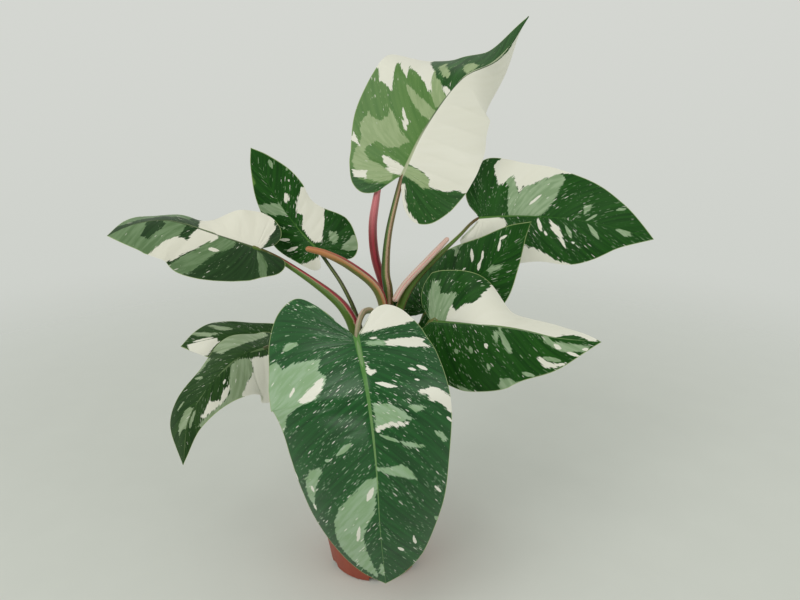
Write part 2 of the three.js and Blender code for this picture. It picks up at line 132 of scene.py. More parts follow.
deselect()
bpy.ops.mesh.primitive_plane_add(size=FLOOR_SIZE)
floor = bpy.context.object
floor.name = "floor"
floor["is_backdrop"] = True
print("lamps:", len(LAMPS))

# %% [markdown]
# ## Shader maths as expressions
#
# A finish is worked out by dozens of small nodes. Wiring them one by one is slow to write and hard to
# read, so this class wraps a socket and lets its maths be written as an expression, such as
# `(noise - 0.5) * 9`. Every other node comes from one method, `node`, which takes the node's type, its
# settings and what goes into its sockets.

# %% A socket that does maths
class Link:
    """One socket of a material's nodes."""

    def __init__(self, tree, socket=None):
        self.tree = tree
        self.socket = socket

    def node(self, kind, settings, inputs, output=0):
        """Adds a node and gives the link to one of its outputs."""
        made = self.tree.nodes.new(kind)
        for name, value in settings.items():
            if name == "stops":
                set_stops(made.color_ramp, value)
            else:
                setattr(made, name, value)
        for place, value in inputs.items():
            if isinstance(value, Link):
                self.tree.links.new(value.socket, made.inputs[place])
            else:
                made.inputs[place].default_value = value
        return Link(self.tree, made.outputs[output] if made.outputs else None)

    def also(self, output):
        """Another output of the node that this link comes from."""
        return Link(self.tree, self.socket.node.outputs[output])

    def maths(self, operation, *values):
        return self.node("ShaderNodeMath", {"operation": operation}, dict(enumerate(values)))

    def __add__(self, other):
        return self.maths("ADD", self, other)

    def __radd__(self, other):
        return self.maths("ADD", other, self)

    def __sub__(self, other):
        return self.maths("SUBTRACT", self, other)

    def __rsub__(self, other):
        return self.maths("SUBTRACT", other, self)

    def __mul__(self, other):
        return self.maths("MULTIPLY", self, other)

    def __rmul__(self, other):
        return self.maths("MULTIPLY", other, self)

    def __truediv__(self, other):
        return self.maths("DIVIDE", self, other)

    def between(self, low, high):
        """0 below low and 1 above high, with a soft step from one to the other."""
        places = {"Value": self, "From Min": low, "From Max": high}
        return self.node("ShaderNodeMapRange", {"interpolation_type": "SMOOTHSTEP"}, places)

    def mixed(self, first, second):
        """The first colour where this link is 0 and the second where it is 1."""
        places = {0: self, 6: first, 7: second}
        return self.node("ShaderNodeMix", {"data_type": "RGBA"}, places, output=2)


def set_stops(ramp, stops):
    """Fills a colour ramp with pairs of place and colour."""
    while len(ramp.elements) < len(stops):
        ramp.elements.new(0.5)
    for element, (place, shade) in zip(ramp.elements, stops):
        element.position = place
        element.color = shade


# %% [markdown]
# ## Colours, patterns and the shader itself
#
# Colours are given as they look on a screen, from 0 to 255, and turned into the linear values that a
# shader wants. A pattern on this plant nearly always follows a direction, along a vein or up a stalk,
# so the noise helper takes two sizes in millimetres, one across and one along. A second helper gives
# separate specks in the same way.
#
# The floor and the sky are the first things to be given a look. The sky is a little darker behind the
# viewer, as the far end of a room is, because a leaf that mirrors a bright sky turns grey. The floor
# fades out far from the pot, so that no horizon cuts through the picture.

# %% Colours, patterns and the shader
def screen(red, green, blue):
    """A screen colour as the linear colour that shaders use."""
    shares = [value / 255 for value in (red, green, blue)]
    linear = [s / 12.92 if s <= 0.04045 else ((s + 0.055) / 1.055) ** 2.4 for s in shares]
    return (*linear, 1)


def new_material(name):
    """An empty material, and a link to start its nodes from."""
    material = bpy.data.materials.new(name)
    material.use_nodes = True
    material.node_tree.nodes.clear()
    return material, Link(material.node_tree)


def attribute(tree, name):
    """The three numbers that each point of a mesh keeps under a name."""
    return tree.node("ShaderNodeAttribute", {"attribute_name": name}, {}, "Vector")


def parts(vector):
    """The three numbers of a vector as separate links."""
    return [vector.node("ShaderNodeSeparateXYZ", {}, {0: vector}, axis) for axis in "XYZ"]


def own_place(tree):
    """Each point's place in its own object, in metres."""
    return tree.node("ShaderNodeTexCoord", {}, {}, "Object")


def stretched(place, across, along, seed):
    """A place moved by a seed, and scaled so that these two sizes become 1."""
    changes = {"Location": (seed, seed, seed), "Scale": (1 / across, 1 / along, 1)}
    return place.node("ShaderNodeMapping", {}, {"Vector": place, **changes})


def streaks(place, across, along, seed, detail=2.0):
    """Noise with features of this width and length on the first two axes of a place."""
    moved = stretched(place, across, along, seed)
    return place.node("ShaderNodeTexNoise", {}, {"Vector": moved, "Scale": 1.0, "Detail": detail}, "Fac")


def specks(place, across, along, seed, radius, share):
    """Ragged specks in this share of the cells, which have this width and length."""
    cells = {"Vector": stretched(place, across, along, seed), "Scale": 1.0}
    distance = place.node("ShaderNodeTexVoronoi", {"voronoi_dimensions": "2D"}, cells, "Distance")
    size = parts(distance.also("Color"))[0].between(1 - share, 1.1)
    ragged = distance + (streaks(place, across / 6, along / 6, seed) - 0.5) * 0.2
    return 1 - (ragged / (size * radius + 0.001)).between(0.7, 1)


def shade(tree, colour, roughness, height, depth, specular=0.5, alpha=1.0):
    """The finished surface: colour, roughness and a height that is depth millimetres from low to high."""
    bump = tree.node("ShaderNodeBump", {}, {"Height": height, "Distance": depth * MM, "Strength": 1.0})
    looks = {
        "Base Color": colour, "Roughness": roughness, "Normal": bump, "Specular IOR Level": specular,
        "Alpha": alpha,
    }
    surface = tree.node("ShaderNodeBsdfPrincipled", {}, looks)
    tree.node("ShaderNodeOutputMaterial", {}, {"Surface": surface})


sky = bpy.data.worlds.new("sky")
sky.use_nodes = True
sky.node_tree.nodes.clear()
tree = Link(sky.node_tree)
sideways, ahead, up = parts(tree.node("ShaderNodeTexCoord", {}, {}, "Generated"))
sky_colour = up.between(-0.7, 0.3).mixed(screen(200, 204, 197), screen(213, 215, 210))
behind_viewer = 1 - ahead.between(-0.8, 0.1)
sky_colour = (behind_viewer * 0.75).mixed(sky_colour, screen(150, 154, 147))
background = tree.node("ShaderNodeBackground", {}, {"Color": sky_colour, "Strength": 1.0})
tree.node("ShaderNodeOutputWorld", {}, {"Surface": background})
bpy.context.scene.world = sky

floor_finish, tree = new_material("floor_finish")
floor_place = own_place(tree)
mottle = streaks(floor_place, 0.05, 0.05, 0)
floor_colour = mottle.mixed(screen(205, 208, 202), screen(209, 212, 206))
reach = floor_place.node("ShaderNodeVectorMath", {"operation": "LENGTH"}, {0: floor_place}, "Value")
shade(tree, floor_colour, 0.9, mottle, 0.05, 0.1, 1 - reach.between(0.3, 1.3))
floor.data.materials.append(floor_finish)
print("floor finish:", floor_finish.name)

# %% [markdown]
# ## The nine leaves, by their driving dimensions
#
# Each leaf is a midrib that bends through space and two halves laid out on either side of it. A half
# has a lobe behind the stalk, a width at each share of the midrib, and a fold and a curl that say how
# it leaves the leaf's plane. These are the same values, in millimetres, that the solids were built
# from, so the fine blades lie exactly where the coarse ones are.
#
# A lobe is given as how far it reaches behind the stalk, how wide it is, and how open the notch is.
# Two lobes have an outline of their own, as shares of the width and of the reach.

# %% Leaf dimensions
LEAVES = {
    "leaf_front": {
        "midrib": [(-7, -85, 250), (2, -118, 223), (7, -124, 174), (9, -118, 117), (12, -100, 53)],
        "faces": [(0.1, -1, 0.55), (0.05, -1, 0.1), (0, -1, -0.2)],
        "left": {
            "lobe": (25, 51, 7),
            "widths": [(0.06, 56), (0.25, 59), (0.47, 56), (0.7, 48), (0.88, 33), (0.96, 16)],
            "fold": [(0, -4), (1, -10)],
            "curl": [(0, -25), (1, -30)],
        },
        "right": {
            "lobe": (47, 70, 12),
            "outline": [(0.33, 0.75), (0.57, 1), (0.8, 0.85), (0.95, 0.42)],
            "widths": [(0.06, 73), (0.25, 71), (0.47, 66), (0.7, 58), (0.88, 36), (0.96, 19)],
            "fold": [(0, -6), (1, -10)],
            "curl": [(0, -30), (1, -40)],
        },
    },
    "leaf_top": {
        "midrib": [(25, 35, 348), (44, 45, 385), (74, 56, 423), (106, 62, 440), (127, 60, 471)],
        "faces": [(-0.1, -1, 0.2), (0, -1, 0), (0.2, -1, -0.1)],
        "left": {
            "lobe": (28, 49, 6),
            "widths": [
                (0.05, 52), (0.17, 59), (0.28, 61), (0.41, 62), (0.48, 63), (0.55, 51), (0.68, 33),
                (0.86, 15),
            ],
            "fold": [(0, 0), (0.38, 0), (0.64, -64), (1, -72)],
            "curl": [(0, -15), (1, -25)],
        },
        "right": {
            "lobe": (31, 53, 4),
            "widths": [
                (0.06, 56), (0.25, 58), (0.35, 56), (0.45, 48), (0.56, 43), (0.64, 41), (0.7, 34),
                (0.78, 20), (0.86, 12),
            ],
            "fold": [(0, 0), (0.55, -5), (0.95, -65), (1, -68)],
            "curl": [(0, -20), (1, -20)],
        },
    },
    "leaf_right": {
        "midrib": [(92, 45, 310), (129, 54, 310), (175, 60, 306), (216, 62, 298), (251, 58, 288)],
        "faces": [(0, -1, 0.4), (0, -1, 0.4), (0.1, -1, 0.4)],
        "left": {
            "lobe": (10, 37, 5),
            "widths": [
                (0.03, 47), (0.13, 57), (0.29, 50), (0.43, 48), (0.56, 42), (0.69, 34), (0.8, 24),
                (0.91, 11),
            ],
            "fold": [(0, 0), (1, 0)],
            "curl": [(0, -20), (1, -20)],
        },
        "right": {
            "lobe": (19, 37, 8),
            "widths": [
                (0.06, 40), (0.2, 42), (0.37, 40), (0.5, 41), (0.6, 39), (0.7, 32), (0.81, 19),
                (0.92, 8),
            ],
            "fold": [(0, 0), (1, 0)],
            "curl": [(0, -20), (1, -20)],
        },
    },
    "leaf_inner": {
        "midrib": [(45, 18, 232), (68, 19, 247), (93, 22, 266), (116, 24.5, 290), (133, 26.5, 310)],
        "faces": [(0, -1, 0.4), (0, -1, 0.3), (0, -1, 0.2)],
        "left": {
            "lobe": (26, 30, 3),
            "widths": [(0.06, 31), (0.25, 36), (0.47, 34), (0.7, 22), (0.88, 12)],
            "fold": [(0, 0), (1, 0)],
            "curl": [(0, -20), (1, -20)],
        },
        "right": {
            "lobe": (17, 26, 3),
            "widths": [(0.06, 30), (0.25, 34), (0.47, 33), (0.7, 19), (0.88, 6)],
            "fold": [(0, 0), (1, 0)],
            "curl": [(0, -20), (1, -20)],
        },
    },
    "leaf_low_right": {
        "midrib": [
            (48, -10, 235), (79, -20, 236), (116, -30, 235), (147, -34, 229), (181, -34, 226),
        ],
        "faces": [(0, -1, 0.35), (0, -1, 0.35), (0, -1, 0.35)],
        "left": {
            "lobe": (9, 40, 5),
            "widths": [
                (0.06, 42), (0.2, 43), (0.33, 42), (0.46, 33), (0.6, 24), (0.78, 21), (0.9, 11),
            ],
            "fold": [(0, 6), (0.12, 5), (0.5, -60), (0.8, -55), (1, -50)],
            "curl": [(0, -10), (1, -20)],
        },
        "right": {
            "lobe": (14, 48, 5),
            "widths": [(0.06, 50), (0.25, 56), (0.47, 50), (0.7, 32), (0.88, 12)],
            "fold": [(0, 0), (1, 0)],
            "curl": [(0, -20), (1, -20)],
        },
    },
    "leaf_arching": {
        "midrib": [
            (-84, -11, 213), (-105, -28, 212), (-126, -45, 195), (-144, -52, 166),
            (-153, -50, 125),
        ],
        "faces": [(0.1, -0.5, 1), (-0.4, -0.7, 0.5), (-0.5, -0.8, 0)],
        "left": {
            "lobe": (14, 44, 4),
            "widths": [(0.06, 46), (0.18, 42), (0.29, 32), (0.5, 20), (0.7, 12), (0.88, 5)],
            "fold": [(0, -35), (0.25, -40), (0.5, -38), (1, -52)],
            "curl": [(0, -30), (1, -20)],
        },
        "right": {
            "lobe": (12, 27, 4),
            "widths": [
                (0.06, 29), (0.2, 31), (0.35, 26), (0.5, 21), (0.65, 21), (0.8, 19), (0.92, 9),
            ],
            "fold": [(0, -12), (0.4, -10), (0.7, 5), (1, 0)],
            "curl": [(0, -10), (1, -20)],
        },
    },
    "leaf_low_left": {
        "midrib": [(-74, 24, 211), (-107, 22, 212), (-138, 12, 211), (-166, 8, 205)],
        "faces": [(0, -0.5, 0.9), (-0.1, -0.5, 0.9), (-0.1, -0.5, 0.9)],
        "left": {
            "lobe": (8, 12, 3),
            "widths": [(0.06, 13), (0.25, 15), (0.47, 18), (0.7, 19), (0.88, 9)],
            "fold": [(0, -10), (1, -10)],
            "curl": [(0, -20), (1, -20)],
        },
        "right": {
            "lobe": (9, 9, 2),
            "widths": [(0.06, 10), (0.25, 12), (0.47, 18), (0.7, 24), (0.88, 14)],
            "fold": [(0, 0), (1, 0)],
            "curl": [(0, -20), (1, -20)],
        },
    },
    "leaf_upper_left": {
        "midrib": [(-50, 45, 282), (-67, 52, 299), (-87, 57, 328), (-105, 58, 368)],
        "faces": [(0, -1, 0.2), (0, -1, 0.1), (0, -1, 0)],
        "left": {
            "lobe": (14, 20, 3),
            "widths": [(0.06, 22), (0.25, 28), (0.47, 21), (0.7, 14), (0.88, 7)],
            "fold": [(0, 0), (1, 0)],
            "curl": [(0, -20), (1, -20)],
        },
        "right": {
            "lobe": (27, 38, 4),
            "widths": [(0.04, 38), (0.2, 31), (0.36, 25), (0.55, 26), (0.72, 22), (0.9, 10)],
            "fold": [(0, 0), (1, 0)],
            "curl": [(0, -20), (1, -20)],
        },
    },
    "leaf_left": {
        "midrib": [
            (-95, 20, 288), (-128, 10, 303), (-160, 3, 315), (-187, 0, 313), (-210, -2, 304),
        ],
        "faces": [(0, -0.9, 0.45), (0, -0.9, 0.45), (0, -0.9, 0.45)],
        "left": {
            "lobe": (25, 28, 0.6),
            "outline": [(0.07, 0.86), (0.28, 1), (0.55, 0.84), (0.8, 0.36)],
            "widths": [
                (0.02, 29), (0.12, 34), (0.25, 38), (0.45, 40), (0.6, 33), (0.74, 28), (0.88, 17),
            ],
            "fold": [(0, 0), (1, -10)],
            "curl": [(0, -20), (1, -20)],
        },
        "right": {
            "lobe": (15, 33, 3),
            "widths": [(0.06, 34), (0.2, 29), (0.33, 21), (0.5, 22), (0.7, 22), (0.88, 13)],
            "fold": [(0, -5), (0.15, -10), (0.45, -57), (0.7, -54), (1, -35)],
            "curl": [(0, -20), (1, -20)],
        },
    },
}

# %% [markdown]
# ## A smooth curve, and values along it
#
# Midribs and stalks are curves through a few points. Blender's own curve objects could draw them, but
# a blade also needs its direction at every place, so a small class does it: it measures the curve
# once and then gives the point and the heading at any share of its length.

# %% Curves and values along them
def through(points, share):
    """Places on the smooth curve through points, which are spread evenly from 0 to 1."""
    points = np.asarray(points, float)
    last = len(points) - 1
    place = np.clip(np.asarray(share, float), 0, 1) * last
    step = np.clip(np.floor(place).astype(int), 0, last - 1)
    t = (place - step)[..., None]
    ends = np.vstack([2 * points[0] - points[1], points, 2 * points[-1] - points[-2]])
    a, b, c, d = ends[step], ends[step + 1], ends[step + 2], ends[step + 3]
    return 0.5 * (2 * b + (c - a) * t + (2 * a - 5 * b + 4 * c - d) * t**2 + (3 * b - a - 3 * c + d) * t**3)


def unit(vectors):
    """Vectors scaled to length 1."""
    return vectors / np.linalg.norm(vectors, axis=-1, keepdims=True)


class Path:
    """A smooth curve through points, read at shares of its length."""

    def __init__(self, points, readings=200):
        self.points = np.array(points, float)
        self.shares = np.linspace(0, 1, readings + 1)
        steps = np.linalg.norm(np.diff(through(self.points, self.shares), axis=0), axis=1)
        travelled = np.concatenate([[0], np.cumsum(steps)])
        self.length = travelled[-1]
        self.travelled = travelled / self.length

    def at(self, share):
        return through(self.points, np.interp(share, self.travelled, self.shares))

    def heading(self, share):
        near = np.interp(share, self.travelled, self.shares)
        return unit(through(self.points, near + 1e-4) - through(self.points, near - 1e-4))


def eased(pairs, share):
    """A value between pairs of share and value, which changes slowly beside each pair."""
    pairs = np.array(pairs, float)
    after = np.clip(np.searchsorted(pairs[:, 0], share), 1, len(pairs) - 1)
    start, end = pairs[after - 1], pairs[after]
    t = np.clip((share - start[..., 0]) / (end[..., 0] - start[..., 0]), 0, 1)
    return start[..., 1] + (end[..., 1] - start[..., 1]) * t * t * (3 - 2 * t)


def smooth(pairs, share):
    """A value on the smooth curve through pairs of share and value."""
    pairs = np.array(pairs, float)
    last = len(pairs) - 1
    before = np.maximum(np.arange(last + 1) - 1, 0)
    following = np.minimum(np.arange(last + 1) + 1, last)
    slopes = (pairs[following, 1] - pairs[before, 1]) / (pairs[following, 0] - pairs[before, 0])
    after = np.clip(np.searchsorted(pairs[:, 0], share), 1, last)
    start, end = pairs[after - 1], pairs[after]
    span = end[..., 0] - start[..., 0]
    t = (share - start[..., 0]) / span
    ease = 3 * t**2 - 2 * t**3
    bends = slopes[after - 1] * (t**3 - 2 * t**2 + t) + slopes[after] * (t**3 - t**2)
    return start[..., 1] * (1 - ease) + end[..., 1] * ease + span * bends


print("longest midrib, mm:", round(max(Path(leaf["midrib"]).length for leaf in LEAVES.values())))

# %% [markdown]
# ## The form of a blade
#
# A real blade is laid out by its veins. They leave the midrib one after another and bow towards the
# tip, and behind the stalk they fan out into the two lobes. A place on a half is therefore given by
# its vein, from the notch round to the tip, and by how far out along it that place lies. The same two
# numbers will later carry the marbling, which also follows the veins.

# %% Blade form
LEFT = -1
RIGHT = 1
VEIN_BOW = 0.12
VEIN_CROWDING = 0.45
LOBE_VEINS = 1 / 3
LOBE_STARTS = 0.02
MIDRIB_END = 0.985
LOBE_OUTLINE = [(0.27, 0.8), (0.5, 1), (0.74, 0.84), (0.92, 0.38)]
LOBE_EASES = 0.08
LOBE_SPANS = 5 / 6
NOTCH_DEPTH = 0.34
NOTCH_FLARE = 2.1


class Blade:
    """The upper surface of one leaf, in millimetres."""

    def __init__(self, leaf):
        self.midrib = Path(leaf["midrib"])
        self.length = self.midrib.length
        self.faces = leaf["faces"]
        self.halves = {LEFT: leaf["left"], RIGHT: leaf["right"]}

    def width(self, side):
        return max(width for share, width in self.halves[side]["widths"])

    def margin(self, side, vein):
        """Where a vein ends, across and along, and where along the midrib it starts."""
        half = self.halves[side]
        reach, width, notch = half["lobe"]
        widths = [(0, width), *half["widths"], (1, 0)]
        outline = half.get("outline", LOBE_OUTLINE)
        rounding = [(out * width, -back * reach) for out, back in outline]
        rounding[0] = (max(rounding[0][0], NOTCH_FLARE * notch), rounding[0][1])
        easing = (float(smooth(widths, LOBE_EASES)), LOBE_EASES * self.length)
        lobe = [(notch, -NOTCH_DEPTH * reach), *rounding, (width, 0), easing]
        on_lobe = through(lobe, np.clip(vein / LOBE_VEINS, 0, 1) * LOBE_SPANS)
        share = np.clip((vein - LOBE_VEINS) / (1 - LOBE_VEINS), 0, 1)
        in_lobe = vein < LOBE_VEINS
        across = np.where(in_lobe, on_lobe[..., 0], np.maximum(smooth(widths, share), 0))
        along = np.where(in_lobe, on_lobe[..., 1], share * self.length)
        crowded = share * (VEIN_CROWDING + (1 - VEIN_CROWDING) * share)
        later = LOBE_STARTS + (MIDRIB_END - LOBE_STARTS) * crowded
        start = np.where(in_lobe, LOBE_STARTS * vein / LOBE_VEINS, later) * self.length
        return across, along, start

    def flat(self, side, vein, out):
        """The same place on the blade laid flat: millimetres across from the midrib and along it."""
        across, along, start = self.margin(side, vein)
        bow = 0.5 - VEIN_BOW * np.minimum(across / self.width(side), 1)
        bowed = start + (along - start) * bow
        return out * across, (1 - out) ** 2 * start + 2 * out * (1 - out) * bowed + out * out * along

    def directions(self, share):
        """The midrib's heading, the way the blade faces, and the way its right half points."""
        forward = self.midrib.heading(share)
        face = through(self.faces, share)
        face = unit(face - np.sum(face * forward, axis=-1, keepdims=True) * forward)
        return forward, face, np.cross(forward, face)

    def surface(self, side, vein, out, rise):
        """Points of the upper surface, lifted off it by rise."""
        half = self.halves[side]
        width = self.width(side)
        across, along = self.flat(side, vein, out)
        share = np.clip(along / self.length, 0, 1)
        forward, face, right = self.directions(share)
        aside = right * side
        fold = np.radians(eased(half["fold"], share))
        curl = np.radians(eased(half["curl"], share))
        tilt = fold + curl * across / width
        sideways = width / curl * (np.sin(tilt) - np.sin(fold)) - rise * np.sin(tilt)
        upwards = width / curl * (np.cos(fold) - np.cos(tilt)) + rise * np.cos(tilt)
        behind = np.minimum(along, 0)[..., None] * forward
        return self.midrib.at(share) + behind + aside * sideways[..., None] + face * upwards[..., None]


blades = {name: Blade(leaf) for name, leaf in LEAVES.items()}
print("blades:", ", ".join(blades))
